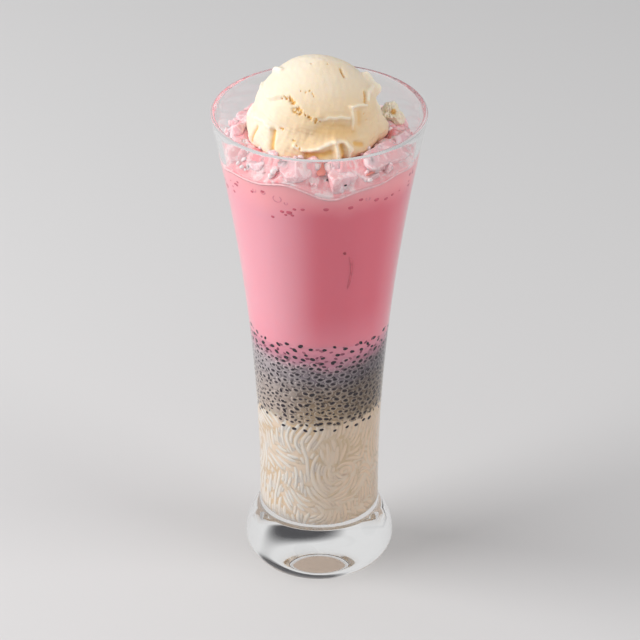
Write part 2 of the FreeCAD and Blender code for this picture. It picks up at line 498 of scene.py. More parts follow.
class Val:
    """A shader value that can be written in plain sums."""

    def __init__(self, tree: "Tree", socket: Any) -> None:
        """Keeps the tree and the socket."""
        self.tree = tree
        self.socket = socket

    __add__ = sum_of("ADD")
    __sub__ = sum_of("SUBTRACT")
    __rsub__ = sum_of("SUBTRACT", swapped=True)
    __mul__ = sum_of("MULTIPLY")
    __truediv__ = sum_of("DIVIDE")
    __pow__ = sum_of("POWER")
    least = sum_of("MINIMUM")
    most = sum_of("MAXIMUM")
    above = sum_of("GREATER_THAN")

    def step(self, low: float, high: float) -> "Val":
        """Smooth step from 0 at low to 1 at high."""
        node = self.tree.node(
            "ShaderNodeMapRange",
            {"interpolation_type": "SMOOTHSTEP", "clamp": True},
            {"Value": self, "From Min": low, "From Max": high},
        )
        return Val(self.tree, node.outputs[0])


class Tree:
    """Node tree of one finish, with its few kinds of node."""

    def __init__(self, name: str, world: bool = False) -> None:
        """Makes an empty material or world.

        Args:
            name: Name of the material or world.
            world: Whether it is a world.
        """
        self.material = (bpy.data.worlds if world else bpy.data.materials).new(name)
        self.material.use_nodes = True
        self.nodes = self.material.node_tree.nodes
        self.links = self.material.node_tree.links
        self.nodes.clear()
        self.out = self.node("ShaderNodeOutputWorld" if world else "ShaderNodeOutputMaterial", {}, {})

    def node(self, kind: str, settings: dict[str, Any], inputs: dict[Any, Any]) -> Any:
        """Adds one node.

        Args:
            kind: Node type.
            settings: Its settings.
            inputs: Values or links by socket name or number.

        Returns:
            The node.
        """
        made = self.nodes.new(kind)
        for key, value in settings.items():
            if key == "stops":
                ramp = made.color_ramp
                while len(ramp.elements) < len(value):
                    ramp.elements.new(0.5)
                for stop, (at, colour) in zip(ramp.elements, value):
                    stop.position = at
                    stop.color = (*colour, 1.0)
            else:
                setattr(made, key, value)
        for key, value in inputs.items():
            self.feed(made.inputs[key], value)
        return made

    def feed(self, socket: Any, value: Any) -> None:
        """Sets a socket to a number, a colour or a link."""
        if isinstance(value, Val):
            self.links.new(value.socket, socket)
        elif isinstance(value, bpy.types.NodeSocket):
            self.links.new(value, socket)
        elif isinstance(value, tuple) and len(value) == 3 and socket.type == "RGBA":
            socket.default_value = (*value, 1.0)
        else:
            socket.default_value = value

    def place(self) -> Any:
        """Object coordinates."""
        return self.node("ShaderNodeTexCoord", {}, {}).outputs["Object"]

    def axes(self) -> tuple[Val, Val, Val]:
        """Object coordinates apart, in metres."""
        split = self.node("ShaderNodeSeparateXYZ", {}, {0: self.place()})
        return Val(self, split.outputs[0]), Val(self, split.outputs[1]), Val(self, split.outputs[2])

    def facing(self, turn: float, low: float, high: float) -> Val:
        """Tells how much a place lies on one side of the axis.

        Args:
            turn: Degrees from the front, positive to the right.
            low: Cosine at which it begins.
            high: Cosine at which it is full.

        Returns:
            Share from 0 to 1.
        """
        x, y, _ = self.axes()
        a = math.radians(turn)
        return ((x * math.sin(a) - y * math.cos(a)) / (x * x + y * y) ** 0.5).step(low, high)

    def noise(self, scale: float, detail: float = 2.0, rough: float = 0.5, vector: Any = None) -> Val:
        """Noise on object coordinates, about 0 to 1."""
        made = self.node(
            "ShaderNodeTexNoise",
            {},
            {"Vector": vector or self.place(), "Scale": scale, "Detail": detail, "Roughness": rough},
        )
        return Val(self, made.outputs["Fac"])

    def cells(self, scale: float) -> Val:
        """Distance to the nearest of scattered points."""
        made = self.node("ShaderNodeTexVoronoi", {}, {"Vector": self.place(), "Scale": scale})
        return Val(self, made.outputs["Distance"])

    def stretched(self, scale: Point) -> Any:
        """Object coordinates, stretched."""
        return self.node("ShaderNodeMapping", {}, {"Vector": self.place(), "Scale": scale}).outputs[0]

    def ramp(self, value: Val, stops: list[tuple[float, Colour]]) -> Any:
        """Colour ramp over a value."""
        return self.node("ShaderNodeValToRGB", {"stops": stops}, {"Fac": value}).outputs["Color"]

    def blend(self, amount: Any, first: Any, second: Any) -> Any:
        """Mix of two colours."""
        made = self.node("ShaderNodeMix", {"data_type": "RGBA"}, {0: amount, 6: first, 7: second})
        return made.outputs[2]

    def bump(self, height: Val, strength: float, distance: float) -> Any:
        """Normal from a height."""
        made = self.node(
            "ShaderNodeBump", {}, {"Height": height, "Strength": strength, "Distance": distance}
        )
        return made.outputs[0]

    def ray(self, kind: str) -> Val:
        """Tells what the ray that is being traced is."""
        return Val(self, self.node("ShaderNodeLightPath", {}, {}).outputs[kind])

    def mixed(self, amount: Any, first: Any, second: Any) -> Any:
        """Mix of two shaders."""
        return self.node("ShaderNodeMixShader", {}, {0: amount, 1: first, 2: second}).outputs[0]

    def attribute(self, name: str) -> Val:
        """Point attribute of the mesh."""
        made = self.node("ShaderNodeAttribute", {"attribute_name": name}, {})
        return Val(self, made.outputs["Fac"])

    def principled(self, **sockets: Any) -> Any:
        """Adds a Principled shader.

        Args:
            sockets: Socket values, with underscores for spaces.

        Returns:
            Shader socket.
        """
        inputs = {key.replace("_", " "): value for key, value in sockets.items()}
        return self.node("ShaderNodeBsdfPrincipled", {}, inputs).outputs[0]

    def surface(self, shader: Any) -> bpy.types.Material:
        """Ends the tree in a shader and gives its material."""
        self.feed(self.out.inputs["Surface"], shader)
        return self.material

    def finish(self, **sockets: Any) -> bpy.types.Material:
        """Ends the tree in one Principled shader with the given sockets."""
        return self.surface(self.principled(**sockets))


@dataclass(frozen=True)
class ClearGlass:
    """Clear polished glass that lets lamps light what stands in it.

    Attributes:
        tint: Colour of the glass.
        ior: Its index of refraction.
        rough: Its roughness.
        shade: Share of light that its shadow lets through.
        trapped: Reflections after which light in it is let out.
    """

    tint: Colour = (0.985, 0.99, 0.99)
    ior: float = 1.5
    rough: float = 0.0
    shade: float = 0.93
    trapped: float = 2.5

    def shader(self, tree: Tree, normal: Any = None) -> Any:
        """Adds the glass to a tree.

        Args:
            tree: Tree to add to.
            normal: Bumped normal, if any.

        Returns:
            Shader socket.
        """
        bumped = {} if normal is None else {"Normal": normal}
        glass = tree.principled(
            Base_Color=self.tint, Roughness=self.rough, IOR=self.ior, Transmission_Weight=1.0, **bumped
        )
        passing = tree.node("ShaderNodeBsdfTransparent", {}, {"Color": (self.shade,) * 3})
        lamp = tree.ray("Is Shadow Ray").most(tree.ray("Is Diffuse Ray"))
        through = lamp.most(tree.ray("Glossy Depth").above(self.trapped))
        return tree.mixed(through, glass, passing.outputs[0])

    def material(self) -> bpy.types.Material:
        """Builds the finish."""
        tree = Tree("clear_glass")
        return tree.surface(self.shader(tree))


@dataclass(frozen=True)
class NoodleFinish:
    """Soft wet starch noodles, cream over tan and ochre gaps."""

    # pale is painted light on the left side; warm is painted shade on the right side and also the colour of
    # random warm patches.
    pale: Colour = (0.79, 0.715, 0.64)
    mid: Colour = (0.80, 0.65, 0.53)
    warm: Colour = (0.80, 0.575, 0.42)
    # line: painted shade on strand sides in the creases between strands, and the base colour of the liquid in
    # the bed.
    line: Colour = (0.71, 0.565, 0.44)
    leaf: Colour = (0.62, 0.45, 0.29)
    shade: Colour = (0.30, 0.235, 0.17)

    def ground(self, tree: Tree) -> Any:
        """Gives the cream of the noodles: painted light makes the left side paler, painted shade makes the
        right side warmer and darker, with random warm patches.
        """
        colour = tree.blend(tree.facing(-58.0, 0.45, 0.97), self.mid, self.pale)
        colour = tree.blend(tree.facing(52.0, 0.5, 0.97), colour, self.warm)
        return tree.blend(tree.noise(90.0, 3.0).step(0.4, 0.7) * 0.3, colour, self.warm)

    def strands(self, name: str, dim: float) -> bpy.types.Material:
        """Builds the finish of the strands.

        Args:
            name: Name of the material.
            dim: How far it is taken towards the liquid between the strands.

        Returns:
            The material.
        """
        tree = Tree(name)
        _, _, z = tree.axes()
        # Painted shade: the sides of a strand that do not touch the wall, in the creases, take the line
        # colour.
        colour = tree.blend(tree.attribute("top").step(-0.5, 0.8), self.line, self.ground(tree))
        colour = tree.blend(dim, colour, self.leaf)
        colour = tree.blend(z.step(0.0715, 0.077) * 0.85, colour, self.shade)
        return tree.finish(
            Base_Color=colour,
            Roughness=0.55,
            Specular_IOR_Level=0.25,
            Normal=tree.bump(tree.noise(700.0, 2.0), 0.1, 0.0002),
            Subsurface_Weight=0.4,
            Subsurface_Radius=(1.0, 0.75, 0.55),
            Subsurface_Scale=0.003,
            IOR=1.38,
        )

    def bed(self) -> bpy.types.Material:
        """Builds the finish of the liquid between the strands."""
        tree = Tree("noodle_bed")
        _, _, z = tree.axes()
        ochre = tree.noise(85.0, 2.0).step(0.47, 0.56)
        colour = tree.blend(ochre, self.line, self.leaf)
        colour = tree.blend(z.step(0.0235, 0.025), self.mid, colour)
        return tree.finish(Base_Color=colour, Roughness=0.5, Specular_IOR_Level=0.25)


@dataclass(frozen=True)
class GelFinish:
    """Grey gel with dark seeds, pink above and beige below."""

    stops: tuple[tuple[float, Colour], ...] = (
        (0.070, (0.50, 0.36, 0.23)),
        (0.079, (0.30, 0.205, 0.115)),
        (0.089, (0.20, 0.14, 0.10)),
        (0.095, (0.17, 0.135, 0.16)),
        (0.099, (0.22, 0.16, 0.19)),
        (0.103, (0.52, 0.22, 0.30)),
        (0.109, (0.74, 0.26, 0.34)),
    )
    # Paler grey painted as light on the gel's left side.
    painted_light_grey: Colour = (0.56, 0.50, 0.51)
    ring: Colour = (0.86, 0.78, 0.73)
    ring_lift: float = 0.36
    # dark is the kernels' own colour and also painted shade on the gel's right side.
    dark: Colour = (0.010, 0.005, 0.010)

    def ground(self, tree: Tree, lift: float) -> Any:
        """Gives the colour by height, with painted shade on the right side and painted light on the left side
        below the pink band.

        Args:
            tree: Tree to add to.
            lift: How much paler it is made.

        Returns:
            Colour socket.
        """
        low, high = self.stops[0][0], self.stops[-1][0]
        _, _, z = tree.axes()
        wander = (tree.noise(70.0, 2.0) - 0.5) * 0.008
        at = (z + wander - low) / (high - low)
        stops = []
        for h, c in self.stops:
            stops.append(((h - low) / (high - low), tuple(v + (t - v) * lift for v, t in zip(c, self.ring))))
        band = 1.0 - z.step(0.1, 0.106)
        # Painted shade on the right side, then painted light on the left side.
        colour = tree.blend(tree.facing(55.0, 0.72, 1.0) * band * 0.4, tree.ramp(at, stops), self.dark)
        return tree.blend(tree.facing(-58.0, 0.62, 1.0) * band * 0.42, colour, self.painted_light_grey)

    def matrix(self) -> bpy.types.Material:
        """Builds the gel with blurred seeds deeper in it."""
        tree = Tree("seed_gel")
        ground = self.ground(tree, 0.0)
        _, _, z = tree.axes()
        deep = 1.0 - tree.cells(430.0).step(0.12, 0.5)
        band = z.step(0.072, 0.08) * (1.0 - z.step(0.102, 0.109))
        colour = tree.blend(deep * band * 0.6, ground, (0.05, 0.035, 0.045))
        return tree.finish(Base_Color=colour, Roughness=0.5, Specular_IOR_Level=0.3)

    def halo(self) -> bpy.types.Material:
        """Builds the pale coat round each seed, paler at its edge."""
        tree = Tree("seed_halo")
        pale = self.ground(tree, self.ring_lift)
        inner = self.ground(tree, 0.05)
        edge = tree.attribute("edge").step(0.68, 0.94)
        return tree.finish(Base_Color=tree.blend(edge, inner, pale), Roughness=0.45, Specular_IOR_Level=0.3)

    def kernel(self) -> bpy.types.Material:
        """Builds the dark kernel."""
        tree = Tree("seed_kernel")
        patch = tree.noise(600.0, 2.0).step(0.4, 0.7)
        colour = tree.blend(patch, self.dark, tuple(2.4 * c for c in self.dark))
        return tree.finish(Base_Color=colour, Roughness=0.5, Specular_IOR_Level=0.15)

    def faint(self) -> bpy.types.Material:
        """Builds kernels that show dimly through the gel."""
        tree = Tree("seed_kernel_faint")
        _, _, z = tree.axes()
        dusk = tree.blend(z.step(0.101, 0.106), self.dark, (0.16, 0.02, 0.06))
        colour = tree.blend(tree.noise(240.0, 1.0).step(0.3, 0.7) * 0.35 + 0.6, self.ground(tree, 0.0), dusk)
        return tree.finish(Base_Color=colour, Roughness=0.5, Specular_IOR_Level=0.2)


@dataclass(frozen=True)
class MilkFinish:
    """Smooth rose milk, paler and frothy near its line."""

    # pale is painted light on the left and right sides.
    pale: Colour = (0.84, 0.36, 0.435)
    pink: Colour = (0.80, 0.205, 0.270)
    # deep is partly syrup swirls and partly painted shade at the front right and at the back.
    deep: Colour = (0.755, 0.150, 0.210)
    froth: Colour = (1.0, 0.40, 0.43)
    cloud: Colour = (0.85, 0.30, 0.38)

    def milk(self, lines: LayerLines) -> bpy.types.Material:
        """Builds the body of the milk.

        Args:
            lines: Heights of the layers.

        Returns:
            The material.
        """
        tree = Tree("rose_milk_body")
        _, _, z = tree.axes()
        wide = tree.noise(24.0, 2.0, 0.5, tree.stretched((1.0, 1.0, 0.18)))
        # Deeper pink at the front right and at the back: partly syrup swirls, partly painted shade.
        syrup_swirl_and_shade = tree.facing(20.0, 0.72, 0.99).most(tree.facing(165.0, 0.7, 1.0)) + (wide - 0.5) * 0.8
        colour = tree.blend(syrup_swirl_and_shade.step(0.0, 0.9), self.pink, self.deep)
        # Painted light: paler on the left side and, less, on the right side.
        light = tree.facing(-62.0, 0.42, 0.95).most(tree.facing(100.0, 0.75, 1.0) * 0.6)
        colour = tree.blend(light * 0.95, colour, self.pale)
        wander = (tree.noise(60.0, 2.0) - 0.5) * 0.008
        top = (z + wander).step((lines.milk_z - 14) * MM, (lines.milk_z - 1) * MM)
        colour = tree.blend(top * 0.85, colour, self.froth)
        low = 1.0 - z.step((lines.seed_z - 2) * MM, (lines.seed_z + 20) * MM)
        colour = tree.blend(low * 0.6, colour, self.cloud)
        return tree.finish(
            Base_Color=colour,
            Roughness=0.3,
            Subsurface_Weight=0.35,
            Subsurface_Radius=(1.0, 0.45, 0.4),
            Subsurface_Scale=0.004,
            IOR=1.35,
        )

    def plain(self, name: str, colour: Colour, rough: float = 0.3) -> bpy.types.Material:
        """Builds a plain wet spot of milk, syrup or froth.

        Args:
            name: Name of the material.
            colour: Its colour.
            rough: Its roughness.

        Returns:
            The material.
        """
        tree = Tree(name)
        patch = tree.noise(500.0, 2.0).step(0.35, 0.7)
        darker = tuple(0.82 * c for c in colour)
        return tree.finish(Base_Color=tree.blend(patch, colour, darker), Roughness=rough, IOR=1.36)


@dataclass(frozen=True)
class IceFinish:
    """Crushed ice stained by the milk: cloudy bodies with white broken edges.

    Attributes:
        cloudy: Share of the cloudy finish in a piece, the rest is clear.
        glow: Share of light that goes into the ice.
        glow_colour: How far each colour goes in it, against the first.
    """

    body: Colour = (1.0, 0.53, 0.56)
    lilac: Colour = (1.0, 0.62, 0.67)
    white: Colour = (1.0, 0.82, 0.83)
    slush: Colour = (1.0, 0.47, 0.50)
    deep: Colour = (0.96, 0.30, 0.34)
    clear: ClearGlass = ClearGlass((1.0, 0.95, 0.96), 1.31, 0.08, 0.94)
    cloudy: float = 0.88
    glow: float = 0.7
    glow_colour: Colour = (1.0, 0.6, 0.6)

    def pieces(self) -> bpy.types.Material:
        """Builds the finish of the broken pieces."""
        tree = Tree("ice_pieces")
        vein = tree.noise(300.0, 4.0, 0.65).step(0.5, 0.6)
        white = (tree.attribute("edge").step(0.4, 1.0) * 0.6).most(vein * 0.5)
        colour = tree.blend(tree.noise(110.0, 2.0).step(0.36, 0.64), self.body, self.lilac)
        colour = tree.blend(white, colour, self.white)
        normal = tree.bump(tree.noise(420.0, 3.0), 0.35, 0.0005)
        cloudy = tree.principled(
            Base_Color=colour,
            Roughness=0.2,
            Normal=normal,
            IOR=self.clear.ior,
            Subsurface_Weight=self.glow,
            Subsurface_Radius=self.glow_colour,
            Subsurface_Scale=0.0022,
        )
        amount = (white * 0.4 + self.cloudy).least(1.0)
        return tree.surface(tree.mixed(amount, self.clear.shader(tree, normal), cloudy))

    def crumbs(self) -> bpy.types.Material:
        """Builds the finish of the small broken bits."""
        tree = Tree("ice_crumbs")
        colour = tree.blend(tree.noise(300.0, 2.0).step(0.35, 0.65), self.body, self.white)
        return self._wet(tree, colour, tree.noise(900.0, 3.0), 0.3)

    def bed(self) -> bpy.types.Material:
        """Builds the finish of the slush."""
        tree = Tree("slush")
        vein = tree.noise(230.0, 5.0, 0.65).step(0.46, 0.62)
        colour = tree.blend(tree.noise(80.0, 3.0).step(0.32, 0.56), self.deep, self.slush)
        colour = tree.blend(vein * 0.7, colour, self.white)
        return self._wet(tree, colour, tree.noise(420.0, 5.0, 0.65), 0.6)

    def _wet(self, tree: Tree, colour: Any, grain: Val, strength: float) -> bpy.types.Material:
        """Ends a tree in a wet snowy finish."""
        return tree.finish(
            Base_Color=colour,
            Roughness=0.22,
            Normal=tree.bump(grain, strength, 0.0008),
            Subsurface_Weight=self.glow,
            Subsurface_Radius=self.glow_colour,
            Subsurface_Scale=0.0016,
            IOR=1.33,
        )


@dataclass(frozen=True)
class CreamFinish:
    """Soft scooped ice cream with icy pits."""

    cream: Colour = (0.85, 0.76, 0.625)
    # tan: random tan patches, more towards the bottom, and painted shade on the right side.
    tan: Colour = (0.815, 0.61, 0.375)
    # Colour of painted shade in pits and hollows.
    pit: Colour = (0.80, 0.49, 0.17)
    # crest: painted highlight along the ridges, and also the crumb's own colour.
    crest: Colour = (0.93, 0.85, 0.72)

    def material(self, name: str, cream: Colour, rough: float) -> bpy.types.Material:
        """Builds the finish.

        Args:
            name: Name of the material.
            cream: Main colour.
            rough: Strength of the fine grain.

        Returns:
            The material.
        """
        tree = Tree(name)
        _, _, z = tree.axes()
        low = 1.0 - z.step(0.19, 0.215)
        tan_tone_and_shade = tree.noise(45.0, 3.0).step(0.35, 0.7) * 0.22 + low * 0.06
        # Painted shade: tan on the right side, less towards the top.
        side = tree.facing(26.0, 0.05, 0.95) * (0.78 - z.step(0.205, 0.219) * 0.5)
        tan_tone_and_shade = (tan_tone_and_shade + side).least(1.0)
        colour = tree.blend(tan_tone_and_shade, cream, self.tan)
        # Painted highlight: the ridges take the paler crest colour.
        colour = tree.blend(tree.attribute("crest").step(0.3, 0.9) * 0.7, colour, self.crest)
        # Painted shade: pits and hollows take the orange-tan colour.
        colour = tree.blend(tree.attribute("pit").step(0.12, 0.6), colour, self.pit)
        grain = tree.noise(1500.0, 3.0, 0.6) + tree.noise(380.0, 2.0) * 0.8
        return tree.finish(
            Base_Color=colour,
            Roughness=0.45,
            Normal=tree.bump(grain, rough, 0.0003),
            Subsurface_Weight=0.25,
            Subsurface_Radius=(1.0, 0.62, 0.3),
            Subsurface_Scale=0.0025,
            IOR=1.36,
        )


# ------------------------------------------------------------------ pieces
@dataclass
class FootedGlass:
    """The tall glass with its solid foot."""

    cup: CupShape = field(default_factory=CupShape)
    steps: int = 192

    def build(self) -> bpy.types.Object:
        """Spins the glass from its section.

        Returns:
            The glass.
        """
        piece = Bench.turned("footed_glass", self.cup.section(), self.steps)
        Bench.smooth(piece, 38.0)
        return piece

    def dress(self, piece: bpy.types.Object) -> None:
        """Gives the glass its finish."""
        Bench.hand_over(piece, Slot.GLASS, ClearGlass().material(), "glass")


@dataclass
class LayerBody:
    """One layer of the drink, from one uneven line up to the next."""

    name: str
    cup: CupShape
    bottom: Callable[[Any, Any], Any]
    top: Callable[[Any, Any], Any]
    around: int = 180
    rise: int = 24
    discs: int = 8

    def build(self) -> bpy.types.Object:
        """Bends a grid to the floor, side and top of the layer.

        Returns:
            The closed layer.
        """
        discs = self.discs
        total = self.rise + 2 * discs

        def place(u: Any, v: Any) -> Any:
            """Turns places on the grid into points of the layer."""
            turn = 2 * math.pi * u
            row = np.rint(v * total)
            side = np.clip((row - discs) / self.rise, 0.0, 1.0)
            edge_low = self._edge(turn, self.bottom)
            edge_high = self._edge(turn, self.top)
            z_side = edge_low + (edge_high - edge_low) * side
            r_side = self.cup.bore(z_side) + IN_WALL
            low, high = row < discs, row > total - discs
            share = np.where(low, row / discs, np.where(high, (total - row) / discs, 1.0))
            r = r_side * share
            x, y = r * np.cos(turn), r * np.sin(turn)
            z = np.where(low, self.bottom(x, y), np.where(high, self.top(x, y), z_side))
            return np.column_stack([x, y, z])

        piece = Bench.wrapped(self.name, self.around, total, place)
        Bench.smooth(piece, 50.0)
        return piece

    def _edge(self, turn: Any, line: Callable[[Any, Any], Any]) -> Any:
        """Gives the height where a line meets the wall."""
        r = self.cup.bore(line(np.cos(turn) * 24.0, np.sin(turn) * 24.0)) + IN_WALL
        for _ in range(3):
            z = line(np.cos(turn) * r, np.sin(turn) * r)
            r = self.cup.bore(z) + IN_WALL
        return z


@dataclass
class WallFlow:
    """Directions in which the noodles lie against the wall.

    Attributes:
        unit: Radius that turns angles into millimetres along the wall.
        whirls: Place along the wall, height, strength and width of each whirl.
    """

    unit: float = 22.5
    whirls: tuple[tuple[float, float, float, float], ...] = (
        (8.3, 50.0, 27.0, 9.5),
        (-9.0, 63.0, 6.0, 8.0),
        (1.5, 31.0, -7.0, 6.0),
        (-31.0, 50.0, -12.0, 12.0),
        (33.0, 58.0, 15.0, 12.0),
        (-52.0, 38.0, 15.0, 11.0),
        (55.0, 40.0, -14.0, 12.0),
        (66.0, 62.0, 10.0, 10.0),
        (-66.0, 60.0, -12.0, 10.0),
    )

    def heading(self, s: float, z: float) -> tuple[float, float]:
        """Gives the unit direction at a place on the wall.

        Args:
            s: Place along the wall, from the front, in millimetres.
            z: Height.

        Returns:
            Step along the wall and step up.
        """
        ds, dz = 1.0, 0.0
        full = 2 * math.pi * self.unit
        for s0, z0, strong, wide in self.whirls:
            a = (s - s0 + full / 2) % full - full / 2
            b = z - z0
            g = strong * math.exp(-(a * a + b * b) / wide**2) * -2.0 / wide**2
            ds += g * a
            dz += g * b
        ds += 0.35 * math.sin(0.21 * z + 0.4) * math.cos(4 * s / self.unit)
        dz += 0.45 * math.sin(5 * s / self.unit + 1.0) * math.cos(0.16 * z)
        size = math.hypot(ds, dz) or 1.0
        return -dz / size, ds / size


@dataclass(frozen=True)
class Pass:
    """One round of laying strands.

    Attributes:
        gap: Distance between strands.
        least: Shortest strand.
        most: Longest strand.
        sink: How far past the wall the strands' middles lie.
        tries: Number of starts tried.
        twist: Degrees its strands are turned from the flow.
        bare: Level over which a place is left free.
        patch: Level over which its strands are laid; none where it is lower.
    """

    gap: float
    least: float
    most: float
    sink: float
    tries: int
    twist: float
    bare: float
    patch: float = -9.0


@dataclass
class VermicelliBed:
    """Noodles packed against the wall over a smaller core.

    Attributes:
        lines: Heights of the layers.
        flow: Directions of the strands.
        strand_r: Radius of a strand, in millimetres.
        step: Distance between the points of a strand.
        seed: Start of the random numbers.
        pressed: Share of what lies past the wall that is pressed back.
        passes: Rounds of laying, in order.
    """

    lines: LayerLines
    flow: WallFlow = field(default_factory=WallFlow)
    strand_r: float = 0.98
    step: float = 0.7
    seed: int = 5
    pressed: float = 0.9
    passes: tuple[Pass, ...] = (
        Pass(1.70, 6.0, 24.0, -0.22, 2600, 52.0, 0.9, 0.42),
        Pass(1.72, 9.0, 40.0, -0.30, 7000, 0.0, 0.86),
        Pass(1.36, 3.5, 14.0, -0.42, 5000, 0.0, 0.86),
        Pass(1.06, 2.6, 8.0, -0.56, 3500, 0.0, 0.86),
        Pass(1.60, 5.0, 22.0, -0.70, 6000, 62.0, 9.0),
    )

    def _bare(self, s: float, z: float) -> float:
        """Gives how strongly a place is kept free of upper strands."""
        t = s / self.flow.unit
        return math.sin(3 * t + 1.1 + 0.09 * z) * math.sin(0.21 * z + 2.0 * math.sin(t) + 0.6)

    def _patch(self, s: float, z: float) -> float:
        """Gives how strongly a place belongs to the strands that cross the others."""
        t = s / self.flow.unit
        return math.sin(4 * t + 0.9 - 0.11 * z) * math.cos(0.19 * z + 1.4 * math.sin(2 * t) + 0.5)

    def _run(
        self, rng: random.Random, start: tuple[float, float], most: float, taken: dict, one: Pass, mark: int
    ) -> list[tuple[float, float]]:
        """Follows the flow both ways from a start until it meets a neighbour."""
        halves = []
        top = self.lines.noodle_z + (rng.uniform(-2.5, 6.0) if rng.random() < 0.5 else -0.8)
        c, k = math.cos(math.radians(one.twist)), math.sin(math.radians(one.twist))
        for sign in (1.0, -1.0):
            s, z = start
            half: list[tuple[float, float]] = []
            while len(half) * self.step < most / 2:
                ds, dz = self.flow.heading(s, z)
                ds, dz = c * ds - k * dz, k * ds + c * dz
                s, z = s + sign * ds * self.step, z + sign * dz * self.step
                if not self.lines.cup.floor_z + 1.2 < z < top or self._near(s, z, taken, one.gap * 0.9, mark):
                    break
                if self._bare(s, z) > one.bare + 0.12 or self._patch(s, z) < one.patch - 0.1:
                    break
                half.append((s, z))
            halves.append(half)
        return halves[1][::-1] + [start] + halves[0]

    def _near(self, s: float, z: float, taken: dict, gap: float, mark: int) -> bool:
        """Tells whether another strand lies nearer than the gap."""
        full = 2 * math.pi * self.flow.unit
        s %= full
        i, j = int(s), int(z)
        for a in (i - 1, i, i + 1):
            for b in (j - 1, j, j + 1):
                for ps, pz, who in taken.get((a % int(full + 1), b), ()):
                    if who != mark and (ps - s) ** 2 + (pz - z) ** 2 < gap * gap:
                        return True
        return False

    def _pack(self, rng: random.Random) -> tuple[list[np.ndarray], list[np.ndarray]]:
        """Packs strands over the whole wall, long ones first, short ones between.

        Args:
            rng: Random numbers.

        Returns:
            Runs of the upper strands and of the ones under them, in millimetres.
        """
        full = 2 * math.pi * self.flow.unit
        low, high = self.lines.cup.floor_z + 1.3, self.lines.noodle_z + 1.5
        taken: dict[tuple[int, int], list[tuple[float, float, int]]] = {}
        upper: list[np.ndarray] = []
        under: list[np.ndarray] = []
        mark = 0
        for one in self.passes:
            below = one.twist > 0 and one.patch < -1
            if below:
                taken = {}
            for _ in range(one.tries):
                mark += 1
                start = (rng.uniform(0, full), rng.uniform(low, high))
                if self._bare(*start) > one.bare or self._patch(*start) < one.patch:
                    continue
                if self._near(*start, taken, one.gap, mark):
                    continue
                run = self._run(rng, start, rng.uniform(one.least, one.most), taken, one, mark)
                if len(run) * self.step < 0.8 * one.least:
                    continue
                for s, z in run:
                    taken.setdefault((int(s % full), int(z)), []).append((s % full, z, mark))
                (under if below else upper).append(self._round_wall(rng, run, one.sink))
        return upper, under

    def _round_wall(self, rng: random.Random, run: list[tuple[float, float]], sink: float) -> np.ndarray:
        """Wraps a run of places on the wall round the cup."""
        pts = np.array(run[::2] if len(run) > 8 else run)
        wave = 0.07 * np.sin(np.linspace(0, rng.uniform(2, 6), len(pts)) + rng.uniform(0, 6))
        r = self.lines.cup.bore(pts[:, 1]) + IN_WALL + sink + rng.uniform(-0.06, 0.06) + wave
        turn = pts[:, 0] / self.flow.unit - math.pi / 2
        return Bench.round_axis(r, turn, pts[:, 1])

    def build(self) -> list[bpy.types.Object]:
        """Builds the core and the strands pressed against the wall.

        Returns:
            Core, upper strands, strands under them.
        """
        cup = self.lines.cup

        def floor(x: Any, y: Any) -> Any:
            """Gives the height of the floor of the cup."""
            return 0 * x + cup.floor_z - IN_WALL

        core = LayerBody("noodle_core", cup, floor, self.lines.noodle_top, rise=30).build()
        upper, under = self._pack(random.Random(self.seed))
        made = [core]
        for name, runs in (("noodle_strands", upper), ("noodle_strands_under", under)):
            strands = Bench.tubes(name, runs, self.strand_r, 2)
            self._press(strands)
            made.append(strands)
        return made

    def _press(self, piece: bpy.types.Object) -> None:
        """Flattens what lies past the inside of the wall against it."""
        pts = Bench.points(piece) / MM
        r = np.hypot(pts[:, 0], pts[:, 1])
        wall = self.lines.cup.bore(pts[:, 2]) + IN_WALL
        over = np.maximum(r - wall - 0.01, 0.0)
        # This mark also tells the finish where to paint shade in the creases.
        Bench.mark(piece, "top", np.clip(over / 0.6, 0.0, 1.0))
        pts[:, :2] *= ((r - self.pressed * over) / r)[:, None]
        Bench.put(piece, pts * MM)

    def dress(self, pieces: list[bpy.types.Object]) -> None:
        """Gives the noodles their finishes."""
        finish = NoodleFinish()
        Bench.hand_over(pieces[0], Slot.VERMICELLI, finish.bed(), "vermicelli")
        Bench.hand_over(pieces[1], Slot.VERMICELLI, finish.strands("noodle_strands", 0.0))
        Bench.hand_over(pieces[2], Slot.VERMICELLI, finish.strands("noodle_strands_under", 0.5))


